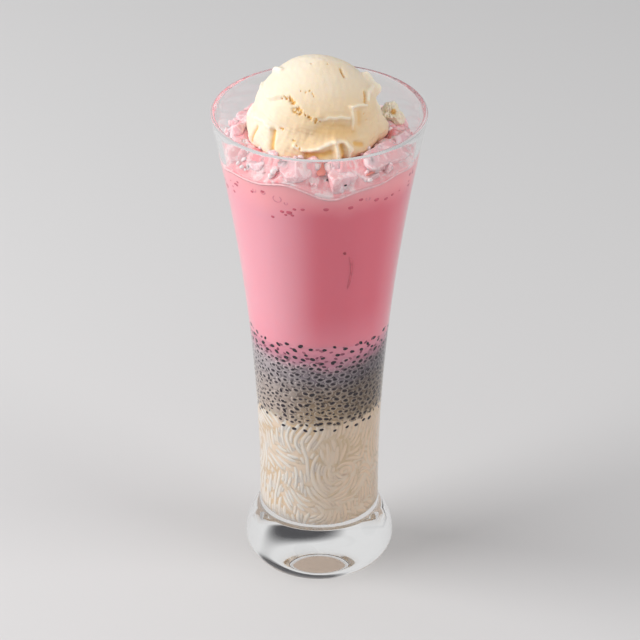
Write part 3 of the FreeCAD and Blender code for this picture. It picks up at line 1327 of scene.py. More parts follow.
@dataclass
class SeedLayer:
    """Soaked seeds, each a dark kernel in a pale coat, in grey gel."""

    lines: LayerLines
    unit: float = 24.5
    kernel: Point = (1.0, 0.66, 0.26)
    faint: Point = (0.85, 0.52, 0.2)
    coat: Point = (1.58, 1.3, 0.18)
    tries: int = 26000
    cell: int = 4

    def _spots(self, seed: int, near: float, low: float, high: float) -> list[tuple[float, float]]:
        """Scatters seeds over the wall, sparse at the top and the bottom.

        Args:
            seed: Seed of the random numbers.
            near: Least distance between two, in millimetres.
            low: How far under the noodles' top they start.
            high: How far over the seeds' top they end.

        Returns:
            Places along the wall and up it.
        """
        rng = random.Random(seed)
        full = 2 * math.pi * self.unit
        spots: list[tuple[float, float]] = []
        cells: dict[tuple[int, int], list[tuple[float, float]]] = {}
        bottom, top = self.lines.noodle_z, self.lines.seed_z
        for _ in range(self.tries):
            s, z = rng.uniform(0, full), rng.uniform(bottom - low, top + high)
            apart = near + 0.11 * max(0.0, z - top + 8.0) + 0.13 * max(0.0, bottom + 4.0 - z)
            i, j = int(s // self.cell), int(z // self.cell)
            around = [c for di in (-1, 0, 1) for dj in (-1, 0, 1) for c in cells.get((i + di, j + dj), ())]
            if any((a - s) ** 2 + (1.2 * (b - z)) ** 2 < apart**2 for a, b in around):
                continue
            cells.setdefault((i, j), []).append((s, z))
            spots.append((s, z))
        return spots

    def _place(self, s: float, z: float, sink: float, tilt: float, grow: float) -> Matrix:
        """Gives the matrix of one seed lying on the wall."""
        turn = s / self.unit - math.pi / 2
        r = float(self.lines.cup.bore(z)) + IN_WALL + sink
        out = Vector((math.cos(turn), math.sin(turn), 0.0))
        side = Vector((-math.sin(turn), math.cos(turn), 0.0))
        up = Vector((0.0, 0.0, 1.0))
        c, k = math.cos(tilt), math.sin(tilt)
        a, b = side * c + up * k, up * c - side * k
        m = Matrix((a, b, out)).transposed().to_4x4() @ Matrix.Scale(grow, 4)
        m.translation = (out * r + up * z) * MM
        return m

    def _model(self, name: str, radii: Point, rings: int) -> bpy.types.Object:
        """Makes one seed shape with its edge attribute."""
        Bench.clear()
        bpy.ops.mesh.primitive_uv_sphere_add(segments=10, ring_count=rings, radius=1.0)
        model = Bench.adopt(name)
        pts = Bench.points(model)
        flat = np.hypot(pts[:, 0], pts[:, 1])
        Bench.mark(model, "edge", np.clip(flat, 0, 1))
        pts[:, 1] *= 1.0 - 0.14 * pts[:, 0]
        Bench.put(model, pts * np.array(radii) * MM)
        return model

    def build(self) -> list[bpy.types.Object]:
        """Builds the gel, the coats and the kernels.

        Returns:
            Gel, coats, kernels, faint kernels deeper in.
        """
        lines = self.lines
        gel = LayerBody("seed_gel", lines.cup, lines.noodle_top, lines.seed_top).build()
        rng = random.Random(33)
        coats, kernels, faint = [], [], []
        for s, z in self._spots(21, 2.5, 3.4, 2.2):
            tilt = rng.gauss(0.0, 0.4)
            grow = rng.uniform(0.85, 1.15)
            sink = rng.uniform(-0.1, 0.0)
            if lines.noodle_z - 0.5 < z < lines.seed_z - 6.5 + rng.uniform(-1.5, 1.5):
                coats.append(self._place(s, z, sink * 0.4, tilt, grow))
            if rng.random() < 0.92:
                turn, size = tilt + rng.gauss(0, 0.15), grow * rng.uniform(0.8, 1.12)
                kernels.append(self._place(s, z, sink * 0.4 + 0.06, turn, size))
        for s, z in self._spots(77, 2.3, 1.0, 1.0):
            faint.append(self._place(s, z, -0.06, rng.gauss(0.0, 0.5), rng.uniform(0.8, 1.2)))
        made = [gel]
        for name, radii, places in (
            ("seed_coats", self.coat, coats),
            ("seed_kernels", self.kernel, kernels),
            ("seed_kernels_faint", self.faint, faint),
        ):
            piece = Bench.copies(name, self._model(f"{name}_model", radii, 7), places)
            Bench.smooth(piece)
            made.append(piece)
        return made

    def dress(self, pieces: list[bpy.types.Object]) -> None:
        """Gives the gel and seeds their finishes."""
        finish = GelFinish()
        Bench.hand_over(pieces[0], Slot.SEEDS, finish.matrix(), "basil_seeds")
        Bench.hand_over(pieces[1], Slot.SEEDS, finish.halo())
        Bench.hand_over(pieces[2], Slot.SEEDS, finish.kernel())
        Bench.hand_over(pieces[3], Slot.SEEDS, finish.faint())


@dataclass
class RoseMilk:
    """The pink milk with its line, bubbles and a streak of syrup.

    Attributes:
        lines: Heights of the layers.
        bubbles: Degrees from the front, height and size of each bubble there.
        streak: Degrees from the front and height along the streak.
        dot: The same for the dot over it.
        rings: Degrees from the front, height and radius of each froth bubble.
    """

    lines: LayerLines
    bubbles: tuple[Point, ...] = (
        *((-29.7, 171.0, 1.2), (-22.9, 174.5, 1.4), (-18.3, 174.6, 1.9), (-14.9, 176.4, 1.2)),
        *((-9.9, 176.7, 1.3), (4.1, 177.0, 1.7), (19.0, 176.8, 1.7), (25.2, 179.7, 1.4)),
        *((36.2, 177.7, 1.7), (43.8, 176.4, 1.5), (49.1, 176.9, 1.2), (-34.8, 181.7, 1.2)),
        *((-43.1, 179.8, 1.2), (-16.4, 173.4, 1.1), (-20.6, 173.2, 1.0)),
    )
    streak: tuple[tuple[float, float], ...] = (
        *((20.4, 153.2), (21.6, 152.0), (22.9, 149.6), (23.2, 146.6)),
        *((22.8, 143.4), (21.8, 140.2), (21.0, 138.0)),
    )
    dot: tuple[tuple[float, float], ...] = ((16.6, 155.9), (17.2, 155.3), (17.9, 154.8))
    rings: tuple[Point, ...] = (
        *((-25.4, 180.0, 1.7), (-34.6, 181.4, 1.0), (-41.0, 180.8, 0.8)),
        *((-20.0, 178.6, 0.7), (30.0, 179.2, 0.9)),
    )

    def _on_wall(self, turn: Any, z: Any, out: float) -> np.ndarray:
        """Gives points against the wall.

        Args:
            turn: Degrees from the front, positive to the right.
            z: Heights.
            out: Distance past the inside of the wall.

        Returns:
            Points as rows.
        """
        a = np.radians(np.asarray(turn, dtype=float)) - math.pi / 2
        r = self.lines.cup.bore(z) + out
        return Bench.round_axis(r, a, np.asarray(z, dtype=float))

    def _ring(self, turn: float, z: float, size: float) -> np.ndarray:
        """Gives points of an uneven ring against the wall.

        Args:
            turn: Degrees from the front of its middle.
            z: Height of its middle.
            size: Its radius in millimetres.

        Returns:
            Points as rows, open a little at the top.
        """
        a = np.radians(np.linspace(110, 430, 15))
        wide = np.degrees(size * np.cos(a) / float(self.lines.cup.bore(z)))
        return self._on_wall(turn + wide, z + 0.9 * size * np.sin(a), -0.08)

    def line_height(self, turn: Any) -> Any:
        """Gives the height of the milk line at an angle from the front."""
        a = np.radians(turn) - math.pi / 2
        r = float(self.lines.cup.inner(self.lines.milk_z))
        return self.lines.milk_top(r * np.cos(a), r * np.sin(a))

    def build(self) -> list[bpy.types.Object]:
        """Builds the milk, its bright line, the bubbles and the streak.

        Returns:
            Milk, line, bubbles, streak, dot, froth bubble.
        """
        lines = self.lines
        milk = LayerBody("milk_body", lines.cup, lines.seed_top, lines.milk_top, rise=60).build()
        turns = np.linspace(-180, 180, 241)
        rim = self._on_wall(turns, self.line_height(turns) + 0.1, 0.0)
        line = Bench.tubes("milk_line", [rim], 0.5)
        rng = random.Random(4)
        spots = list(self.bubbles)
        for _ in range(60):
            turn = rng.uniform(55, 305)
            spots.append((turn, float(self.line_height(turn)) - rng.uniform(2.0, 9.0), rng.uniform(0.7, 1.7)))
        places = []
        for turn, z, size in spots:
            a = math.radians(turn) - math.pi / 2
            r = float(lines.cup.bore(z)) + IN_WALL
            m = Matrix.Rotation(a, 4, "Z") @ Matrix.Diagonal((0.12, 0.62 * size, 0.5 * size, 1.0))
            m.translation = Vector((r * math.cos(a), r * math.sin(a), z)) * MM
            places.append(m)
        bubbles = Bench.copies("milk_bubbles", Bench.ball("bubble", 3), places)
        Bench.smooth(bubbles)
        streak = self._on_wall(*zip(*self.streak), 0.0)
        dot = self._on_wall(*zip(*self.dot), -0.05)
        rings = [self._ring(*spot) for spot in self.rings]
        return [
            milk,
            line,
            bubbles,
            Bench.tubes("syrup_streak", [streak], 0.60),
            Bench.tubes("syrup_dot", [dot], 0.85),
            Bench.tubes("froth_rings", rings, 0.34),
        ]

    def dress(self, pieces: list[bpy.types.Object]) -> None:
        """Gives the milk and what floats in it their finishes."""
        finish = MilkFinish()
        Bench.hand_over(pieces[0], Slot.MILK, finish.milk(self.lines), "rose_milk")
        looks = (
            ("milk_film", (1.0, 0.60, 0.63)),
            ("milk_bubble", (0.66, 0.10, 0.16)),
            ("syrup_streak", (0.68, 0.115, 0.165)),
            ("syrup_dot", (0.42, 0.045, 0.075)),
            ("froth_rings", (0.84, 0.27, 0.34)),
        )
        for piece, (name, colour) in zip(pieces[1:], looks):
            Bench.hand_over(piece, Slot.MILK, finish.plain(name, colour))


@dataclass(frozen=True)
class Slab:
    """A large piece of ice with its own place.

    Attributes:
        turn: Degrees from the front, positive to the right.
        reach: Distance from the axis.
        lift: Height of its middle over the heap.
        size: Length along the wall, depth and thickness.
        lean: Degrees its top leans out.
        roll: Degrees it is turned on edge.
    """

    turn: float
    reach: float
    lift: float
    size: Point
    lean: float
    roll: float


@dataclass
class IceHeap:
    """Crushed ice round the scoop: slush, slabs, rubble and crumbs.

    Attributes:
        lines: Heights of the layers.
        slabs: Large pieces, each with its own place.
        rubble: Number of middling pieces.
        crumbs: Number of small bits.
        brim: How much higher the slush stands outside the scoop.
        edge_r: Radius at which the slush ends.
        brim_r: Radius at which it starts to climb.
        brim_wide: Distance over which it climbs.
        clear_of_wall: Space between the pieces and the wall.
    """

    lines: LayerLines
    slabs: tuple[Slab, ...] = (
        Slab(-21.0, 32.3, 0.8, (17.5, 6.5, 5.6), 12.0, -3.0),
        Slab(17.0, 32.5, 0.7, (12.5, 6.0, 5.6), 10.0, 4.0),
        Slab(46.0, 30.6, 1.3, (17.0, 9.0, 6.0), 20.0, 6.0),
        Slab(31.5, 33.4, -0.6, (7.5, 5.0, 4.4), 20.0, -14.0),
        Slab(-45.0, 32.0, 0.2, (10.0, 6.5, 4.8), 10.0, -12.0),
        Slab(-67.0, 31.6, 1.0, (10.0, 8.0, 5.4), 18.0, 14.0),
        Slab(-96.0, 30.8, 1.2, (12.0, 8.0, 6.0), 12.0, -8.0),
        Slab(78.0, 31.6, 0.6, (11.0, 8.0, 5.4), 14.0, -8.0),
        Slab(118.0, 31.0, 1.0, (13.0, 8.0, 6.0), 12.0, 10.0),
        Slab(150.0, 31.6, 0.8, (12.0, 8.0, 5.8), 20.0, -6.0),
        Slab(180.0, 31.0, 1.2, (15.0, 8.5, 6.0), 10.0, 4.0),
        Slab(-150.0, 31.4, 0.8, (12.0, 8.0, 5.8), 16.0, -9.0),
        Slab(-122.0, 31.0, 1.0, (14.0, 8.0, 5.8), 14.0, 7.0),
    )
    rubble: int = 44
    crumbs: int = 200
    brim: float = 3.0
    edge_r: float = 37.4
    brim_r: float = 25.5
    brim_wide: float = 3.0
    clear_of_wall: float = 0.25

    def _slush(self) -> bpy.types.Object:
        """Builds the slush with its rough top."""
        lines = self.lines
        rng = np.random.default_rng(8)
        waves = []
        for long, high, count in ((9.0, 0.30, 8), (4.5, 0.20, 10), (2.4, 0.12, 12)):
            for _ in range(count):
                way = rng.uniform(0, 2 * math.pi)
                k = 2 * math.pi / long
                waves.append((k * math.cos(way), k * math.sin(way), rng.uniform(0, 6), high))

        def rough(x: Any, y: Any) -> Any:
            """Gives the height of the slush."""
            r = np.hypot(x, y)
            inside = np.clip(1.0 - r / self.edge_r, 0.0, 1.0)
            more = sum(high * np.sin(a * x + b * y + at) for a, b, at, high in waves)
            lumps = 0.45 * more * np.minimum(1.0, 10 * inside + 0.25)
            climb = np.clip((r - self.brim_r) / self.brim_wide, 0.0, 1.0)
            return lines.heap_top(x, y) + lumps + 0.35 + self.brim * np.minimum(1.0, 6 * inside) * climb

        layer = LayerBody("slush_bed", lines.cup, lines.milk_top, rough, 360, 3, 56)
        return layer.build()

    def _shard(self, name: str, size: Point, level: int, rng: np.random.Generator) -> bpy.types.Object:
        """Breaks one shard: a ball cut by many planes, with softened edges.

        Args:
            name: Name of the shard.
            size: Its length, depth and thickness in millimetres.
            level: Fineness of its mesh.
            rng: Random numbers.

        Returns:
            The shard at the origin.
        """
        piece = Bench.ball(name, level)
        ray = Bench.unit(Bench.points(piece))
        half = np.array(size) / 2
        ways = Bench.unit(np.vstack([np.eye(3), -np.eye(3)]) + rng.normal(size=(6, 3)) * 0.24)
        more = Bench.unit(rng.normal(size=(7, 3)))
        sides = np.tile(half, 2) * rng.uniform(0.85, 1.05, 6)
        chips = rng.uniform(0.6, 0.8, 7) * (np.abs(more) @ half)
        far = np.concatenate([sides, chips])
        share = np.clip(ray @ np.vstack([ways, more]).T / far, 0.0, None)
        hard = 14 if level > 4 else 9
        reach = (share**hard).sum(axis=1) ** (-1 / hard) * 1.06
        ranked = np.sort(share, axis=1)
        edge = np.clip((ranked[:, -2] / ranked[:, -1] - 0.84) / 0.16, 0, 1)
        reach += Relief.waves(ray, rng, ((4.0, 0.05), (9.0, 0.022))) * float(half.mean())
        Bench.put(piece, ray * reach[:, None] * MM)
        Bench.mark(piece, "edge", edge)
        return piece

    @staticmethod
    def _tipped(first: float, second: float, axes: str) -> Matrix:
        """Gives a turn about one axis that follows a turn about another, in radians."""
        return Matrix.Rotation(first, 4, axes[0]) @ Matrix.Rotation(second, 4, axes[1])

    def _lay(self, piece: bpy.types.Object, turn: float, reach: float, lift: float, turned: Matrix) -> None:
        """Puts a shard on the heap, pressed flat where it meets the wall."""
        a = math.radians(turn) - math.pi / 2
        x, y = reach * math.cos(a), reach * math.sin(a)
        z = float(self.lines.heap_top(x, y)) + lift
        m = np.array(Matrix.Rotation(a + math.pi / 2, 4, "Z") @ turned)[:3, :3]
        pts = Bench.points(piece) / MM @ m.T + np.array([x, y, z])
        r = np.hypot(pts[:, 0], pts[:, 1])
        most = self.lines.cup.bore(pts[:, 2]) - self.clear_of_wall
        pts[:, :2] *= np.minimum(1.0, most / r)[:, None]
        Bench.put(piece, pts * MM)

    def _joined(self, name: str, pieces: list[bpy.types.Object]) -> bpy.types.Object:
        """Joins pieces into one."""
        Bench.clear()
        for piece in pieces:
            piece.select_set(True)
        bpy.context.view_layer.objects.active = pieces[0]
        bpy.ops.object.join()
        joined = Bench.adopt(name)
        Bench.smooth(joined)
        return joined

    def build(self) -> list[bpy.types.Object]:
        """Builds the slush and the ice on it.

        Returns:
            Slush, large pieces, crumbs.
        """
        rng = np.random.default_rng(17)
        slush = self._slush()
        large, small = [], []
        for i, slab in enumerate(self.slabs):
            piece = self._shard(f"slab_{i}", slab.size, 5, rng)
            turned = self._tipped(math.radians(slab.lean), math.radians(slab.roll), "XY")
            self._lay(piece, slab.turn, slab.reach, slab.lift, turned)
            large.append(piece)
        for i in range(self.rubble):
            size = tuple(rng.uniform(2.4, 5.6) * rng.uniform(0.7, 1.2, 3))
            piece = self._shard(f"rubble_{i}", size, 3, rng)
            turned = self._tipped(rng.uniform(0, 6.3), rng.uniform(-1.2, 1.2), "ZX")
            turn, reach = 360.0 * i / self.rubble + rng.uniform(-6, 6), rng.uniform(26.5, 35.0)
            if turn < 26.0 or turn > 346.0:
                reach = rng.uniform(26.0, 29.0)
            self._lay(piece, turn, reach, rng.uniform(1.0, 2.2), turned)
            large.append(piece)
        for i in range(self.crumbs):
            size = tuple(rng.uniform(0.9, 2.4) * rng.uniform(0.7, 1.2, 3))
            piece = self._shard(f"crumb_{i}", size, 2, rng)
            turned = self._tipped(rng.uniform(0, 6.3), rng.uniform(-1.5, 1.5), "ZX")
            turn, reach = rng.uniform(0, 360), rng.uniform(25.5, 36.6)
            if abs(turn - 7.0) < 22.0 and reach > 30.5:
                reach -= 5.5
            self._lay(piece, turn, reach, rng.uniform(1.4, 2.6), turned)
            small.append(piece)
        return [slush, self._joined("ice_pieces", large), self._joined("ice_crumbs", small)]

    def dress(self, pieces: list[bpy.types.Object]) -> None:
        """Gives the ice its finishes."""
        finish = IceFinish()
        Bench.hand_over(pieces[0], Slot.ICE, finish.bed(), "crushed_ice")
        Bench.hand_over(pieces[1], Slot.ICE, finish.pieces())
        Bench.hand_over(pieces[2], Slot.ICE, finish.crumbs())


@dataclass(frozen=True)
class Blob:
    """A drop of syrup or milk on the ice.

    Attributes:
        x: Place across.
        y: Place in depth.
        lift: Height over the heap.
        size: Half length, half width and half height.
        turn: Degrees its length is turned.
    """

    x: float
    y: float
    lift: float
    size: Point
    turn: float


@dataclass
class Drips:
    """Syrup, bright drops and loose seeds that lie on the ice."""

    lines: LayerLines
    red: tuple[Blob, ...] = (
        Blob(0.6, -29.4, 3.0, (1.7, 3.4, 0.9), 4.0),
        Blob(19.5, -29.0, 2.7, (3.2, 0.8, 0.5), 44.0),
    )
    orange: tuple[Blob, ...] = (
        Blob(18.6, -19.8, 2.0, (2.8, 1.3, 0.9), 40.0),
        Blob(22.2, -16.4, 2.0, (3.0, 1.4, 0.9), 52.0),
        Blob(25.0, -11.8, 2.0, (2.8, 1.2, 0.9), 64.0),
    )
    # Bright pale pink drops: partly real wet milk and partly painted glints on the wet ice.
    bright: tuple[Blob, ...] = (
        Blob(28.6, -1.0, 2.2, (1.6, 1.1, 0.8), 30.0),
        Blob(30.0, -4.2, 2.1, (1.3, 1.0, 0.8), 10.0),
        Blob(31.8, 2.6, 1.9, (1.5, 0.9, 0.7), 70.0),
        Blob(28.6, -7.2, 2.0, (1.2, 0.9, 0.7), 50.0),
        Blob(-28.8, -11.0, 1.0, (1.4, 0.9, 0.6), 80.0),
    )
    seeds: tuple[tuple[float, float, float], ...] = (
        (2.2, -27.8, 20.0),
        (2.9, -32.6, 80.0),
        (5.2, -34.6, 130.0),
        (9.6, -34.8, 10.0),
        (-9.0, -34.6, 60.0),
        (26.5, -24.4, 100.0),
        (-27.0, -16.0, 30.0),
        (14.0, 29.0, 70.0),
        (-18.0, 27.0, 20.0),
    )

    seed_lift: float = 2.9
    seed_size: Point = (0.55, 0.36, 0.34)

    def _scatter(self, name: str, blobs: Sequence[Blob]) -> bpy.types.Object:
        """Lays soft drops of one kind on the heap."""
        model = Bench.ball(f"{name}_model", 4)
        ray = Bench.points(model) / MM
        uneven = Relief.waves(ray, np.random.default_rng(2), ((3.0, 0.14), (7.0, 0.06)))
        Bench.put(model, ray * (1 + uneven)[:, None] * MM)
        places = []
        for blob in blobs:
            m = Matrix.Rotation(math.radians(blob.turn), 4, "Z") @ Matrix.Diagonal((*blob.size, 1.0))
            z = float(self.lines.heap_top(blob.x, blob.y)) + blob.lift
            m.translation = Vector((blob.x, blob.y, z)) * MM
            places.append(m)
        piece = Bench.copies(name, model, places)
        Bench.smooth(piece)
        return piece

    def build(self) -> list[bpy.types.Object]:
        """Builds the drops and the seeds.

        Returns:
            Red syrup, orange syrup, bright drops, seeds.
        """
        seeds = [Blob(x, y, self.seed_lift, self.seed_size, turn) for x, y, turn in self.seeds]
        kinds = (
            ("syrup_red", self.red),
            ("syrup_orange", self.orange),
            ("milk_drops_and_glints", self.bright),
            ("loose_seeds", seeds),
        )
        return [self._scatter(name, blobs) for name, blobs in kinds]

    def dress(self, pieces: list[bpy.types.Object]) -> None:
        """Gives the drops and the seeds their finishes."""
        finish = MilkFinish()
        looks = (
            ("syrup_red", (0.74, 0.22, 0.18)),
            ("syrup_orange", (0.85, 0.40, 0.24)),
            ("milk_drops_and_glints", (0.92, 0.40, 0.46)),
        )
        for piece, (name, colour) in zip(pieces, looks):
            Bench.hand_over(piece, Slot.MILK, finish.plain(name, colour, 0.12))
        Bench.hand_over(pieces[3], Slot.SEEDS, bpy.data.materials["seed_kernel"])


class Mark(Enum):
    """What a stroke does to the skin of the scoop."""

    RIDGE = 1
    HOLLOW = 2
    PITS = 3
    STEP = 4
    SPECKS = 5


@dataclass(frozen=True)
class Stroke:
    """A line drawn on the scoop that raises, hollows or pits it.

    Attributes:
        mark: What it does.
        high: Height or depth in millimetres.
        wide: Half width in millimetres.
        path: Degrees round from +X and down from the top, along the line.
    """

    mark: Mark
    high: float
    wide: float
    path: tuple[tuple[float, float], ...]


class Relief:
    """Fine relief for skins given as unit directions from a middle."""

    @staticmethod
    def directions(turn: Any, down: Any) -> np.ndarray:
        """Gives unit directions from radians round from +X and down from the top."""
        flat = np.sin(down)
        return np.column_stack([flat * np.cos(turn), flat * np.sin(turn), np.cos(down)])

    @staticmethod
    def waves(ray: np.ndarray, rng: np.random.Generator, kinds: Sequence[tuple[float, float]]) -> np.ndarray:
        """Adds up waves of several lengths in random directions.

        Args:
            ray: Unit directions.
            rng: Random numbers.
            kinds: How many waves go round, and their height in millimetres.

        Returns:
            Rise of the skin in millimetres.
        """
        rise = np.zeros(len(ray))
        for count, high in kinds:
            for _ in range(6):
                way = rng.normal(size=3) * count * 0.75
                rise += high * 0.42 * np.sin(ray @ way + rng.uniform(0, 6.3))
        return rise

    @staticmethod
    def holes(
        ray: np.ndarray, path: np.ndarray, wide: float, radius: float, rng: np.random.Generator
    ) -> np.ndarray:
        """Scatters uneven small holes along a path.

        Args:
            ray: Unit directions.
            path: Unit directions along the path.
            wide: Half width of the band of holes, in millimetres.
            radius: Radius of the skin, in millimetres.
            rng: Random numbers.

        Returns:
            How deep in a hole each point is, 0 to 1.
        """
        span = np.arccos(np.clip(path[0] @ path[-1], -1, 1)) * radius
        count = max(2, int(1.5 * span))
        centres = path[rng.integers(0, len(path), count)]
        centres = Bench.unit(centres + rng.normal(size=centres.shape) * 0.45 * wide / radius)
        deep = np.zeros(len(ray))
        for centre in centres:
            side = np.cross(centre, rng.normal(size=3))
            side /= np.linalg.norm(side)
            other = np.cross(centre, side)
            size = wide * rng.uniform(0.35, 0.95)
            a = ray @ side * radius / (size * rng.uniform(1.0, 1.7))
            b = ray @ other * radius / (size * rng.uniform(0.6, 1.0))
            front = ray @ centre > 0
            hole = np.where(front, np.exp(-((a * a + b * b) ** 1.3)), 0.0)
            deep = np.maximum(deep, hole * rng.uniform(0.5, 1.0))
        return deep


@dataclass
class IceCreamScoop:
    """The scoop: a smooth dome, a torn seam, a flap and a ragged skirt."""

    radius: float = 24.3
    middle: Point = (-1.1, 0.0, 196.85)
    skirt_out: float = 2.9
    skirt_at: float = 98.0
    skirt_wide: float = 10.5
    around: int = 400
    down: int = 236
    fine: float = 0.42
    crumb_out: float = 2.4
    crumb_turn: float = 0.297
    crumb_down: float = 2.45
    crumb_balls: tuple[tuple[Point, float], ...] = (
        ((0.0, 0.0, 0.0), 3.7),
        ((2.6, -1.6, -0.9), 2.7),
        ((-3.2, -0.8, -1.2), 3.1),
        ((0.8, 1.8, 1.2), 2.5),
    )
    crumb_waves: tuple[tuple[float, float], ...] = (
        *((5.0, 0.4), (10.0, 0.34), (19.0, 0.26)),
        *((34.0, 0.16), (60.0, 0.1)),
    )
    strokes: tuple[Stroke, ...] = (
        Stroke(
            Mark.STEP,
            0.55,
            1.1,
            (
                *((-150, 58), (-143, 55), (-134, 50), (-126, 49), (-117, 50)),
                *((-110, 54), (-105, 58), (-99, 61), (-93, 65), (-87, 64)),
            ),
        ),
        Stroke(Mark.PITS, 0.8, 0.75, ((-136, 51), (-126, 49), (-117, 51), (-110, 55), (-105, 59))),
        Stroke(Mark.PITS, 0.8, 0.8, ((-114, 58), (-110, 62), (-105, 60), (-99, 62), (-93, 66), (-87, 65))),
        Stroke(Mark.PITS, 0.35, 0.5, ((-112, 40), (-105, 41), (-98, 38), (-93, 44))),
        Stroke(
            Mark.RIDGE,
            0.42,
            0.8,
            (
                *((-91, 66), (-87, 65), (-82, 65.5), (-77, 63.5)),
                *((-71, 65), (-66, 64.5), (-57, 67.5)),
            ),
        ),
        Stroke(Mark.HOLLOW, 0.95, 2.9, ((-81, 70.5), (-74, 71.5), (-68, 72.5), (-63, 75))),
        Stroke(Mark.HOLLOW, 0.5, 4.4, ((-86, 75), (-72, 77), (-56, 80))),
        Stroke(Mark.RIDGE, 0.85, 0.75, ((-52, 59), (-42, 59.5), (-32, 63))),
        Stroke(Mark.RIDGE, 0.85, 0.75, ((-52, 59), (-53, 65), (-53, 72), (-54, 78))),
        Stroke(Mark.HOLLOW, 0.7, 2.1, ((-43, 66), (-44, 76))),
        Stroke(Mark.PITS, 0.5, 0.5, ((-39, 74), (-35, 77), (-37, 70))),
        Stroke(Mark.RIDGE, 1.9, 1.25, ((14, 50), (15, 56), (9, 62), (8, 68))),
        Stroke(Mark.RIDGE, 0.9, 1.3, ((8, 64), (14, 72), (17, 80), (16, 87))),
        Stroke(Mark.RIDGE, 0.8, 1.2, ((4, 59), (-8, 57), (-17, 56), (-25, 60))),
        Stroke(Mark.PITS, 0.8, 0.45, ((-22, 53), (-26, 57), (-31, 61))),
        Stroke(Mark.HOLLOW, 0.8, 0.6, ((-22, 53), (-31, 61))),
        Stroke(Mark.HOLLOW, 0.75, 0.55, ((-17, 23), (-27, 26), (-33, 31))),
        Stroke(Mark.PITS, 0.6, 0.4, ((-27, 26), (-33, 31))),
        Stroke(Mark.PITS, 0.6, 0.55, ((-141, 5), (-128, 6))),
        Stroke(Mark.PITS, 0.4, 0.35, ((-22, 10), (-32, 12))),
        Stroke(Mark.RIDGE, 0.9, 1.0, ((150, 49), (158, 43), (170, 37), (-178, 33))),
        Stroke(Mark.RIDGE, 0.7, 0.8, ((166, 60), (172, 58), (-179, 58))),
        Stroke(Mark.RIDGE, 1.0, 1.3, ((-177, 77), (176, 84), (179, 88))),
        Stroke(Mark.HOLLOW, 1.3, 1.3, ((-134, 84), (-132, 90), (-129, 97))),
        Stroke(Mark.HOLLOW, 0.8, 0.9, ((-157, 88), (-158, 100))),
        Stroke(Mark.RIDGE, 0.5, 0.8, ((-166, 83), (-161, 81), (-150, 79), (-139, 81))),
        Stroke(
            Mark.RIDGE,
            0.9,
            0.85,
            (
                *((-109, 89), (-104, 91), (-98, 92), (-88, 89)),
                *((-81, 86), (-74, 84), (-65, 86), (-61, 92)),
            ),
        ),
        Stroke(Mark.HOLLOW, 1.35, 1.5, ((-98, 96.5), (-87, 95.5), (-79, 93))),
        Stroke(Mark.RIDGE, 0.95, 0.85, ((-74, 84), (-73, 96), (-74, 101))),
        Stroke(Mark.HOLLOW, 0.95, 0.9, ((-69, 89), (-68, 99))),
        Stroke(Mark.RIDGE, 0.8, 0.8, ((-64, 86), (-63, 93), (-64, 100))),
        Stroke(Mark.HOLLOW, 0.8, 1.1, ((-56, 90), (-50, 92))),
        Stroke(Mark.PITS, 0.6, 0.5, ((-104, 92), (-111, 85))),
        Stroke(Mark.PITS, 0.5, 0.5, ((-128, 80), (-124, 78))),
        Stroke(Mark.SPECKS, 0.3, 0.35, ((-69, 64), (-75, 72), (-81, 73), (-92, 75), (-97, 80))),
        Stroke(Mark.STEP, 0.5, 1.1, ((56, 60), (70, 66), (88, 63), (104, 68), (122, 64))),
        Stroke(Mark.PITS, 0.7, 0.8, ((60, 62), (74, 66), (88, 63), (104, 68), (118, 66))),
        Stroke(Mark.RIDGE, 0.8, 1.0, ((36, 72), (50, 75), (72, 73), (95, 77), (120, 74))),
        Stroke(Mark.HOLLOW, 0.9, 1.5, ((38, 79), (60, 81), (95, 82), (122, 80))),
    )

    def _reach(self, turned: Any, down: Any) -> Any:
        """Gives the plain skin of the scoop, in millimetres from its middle."""
        p = np.radians(turned)
        skirt = np.exp(-(((down - self.skirt_at - 2.5 * np.sin(2 * p + 0.6)) / self.skirt_wide) ** 2))
        torn = 1 + 0.22 * np.sin(5 * p + 0.9) + 0.16 * np.sin(9 * p + 2.0)
        tuck = 0.7 * np.exp(-(((down - self.skirt_at + 19) / 7.0) ** 2))
        dent = 0.35 * np.sin(3 * p + down / 17.0) * np.sin(np.radians(down)) ** 2
        return self.radius + self.skirt_out * skirt * torn - tuck + dent

    @staticmethod
    def _along(path: tuple[tuple[float, float], ...]) -> np.ndarray:
        """Gives unit directions along a path, close together."""
        turned = np.unwrap(np.radians([p[0] for p in path]))
        down = np.radians([p[1] for p in path])
        t = np.linspace(0, len(path) - 1, 7 * (len(path) - 1) + 1)
        a = np.interp(t, range(len(path)), turned)
        d = np.interp(t, range(len(path)), down)
        for _ in range(4):
            a[1:-1] = (a[:-2] + 2 * a[1:-1] + a[2:]) / 4
            d[1:-1] = (d[:-2] + 2 * d[1:-1] + d[2:]) / 4
        return Relief.directions(a, d)

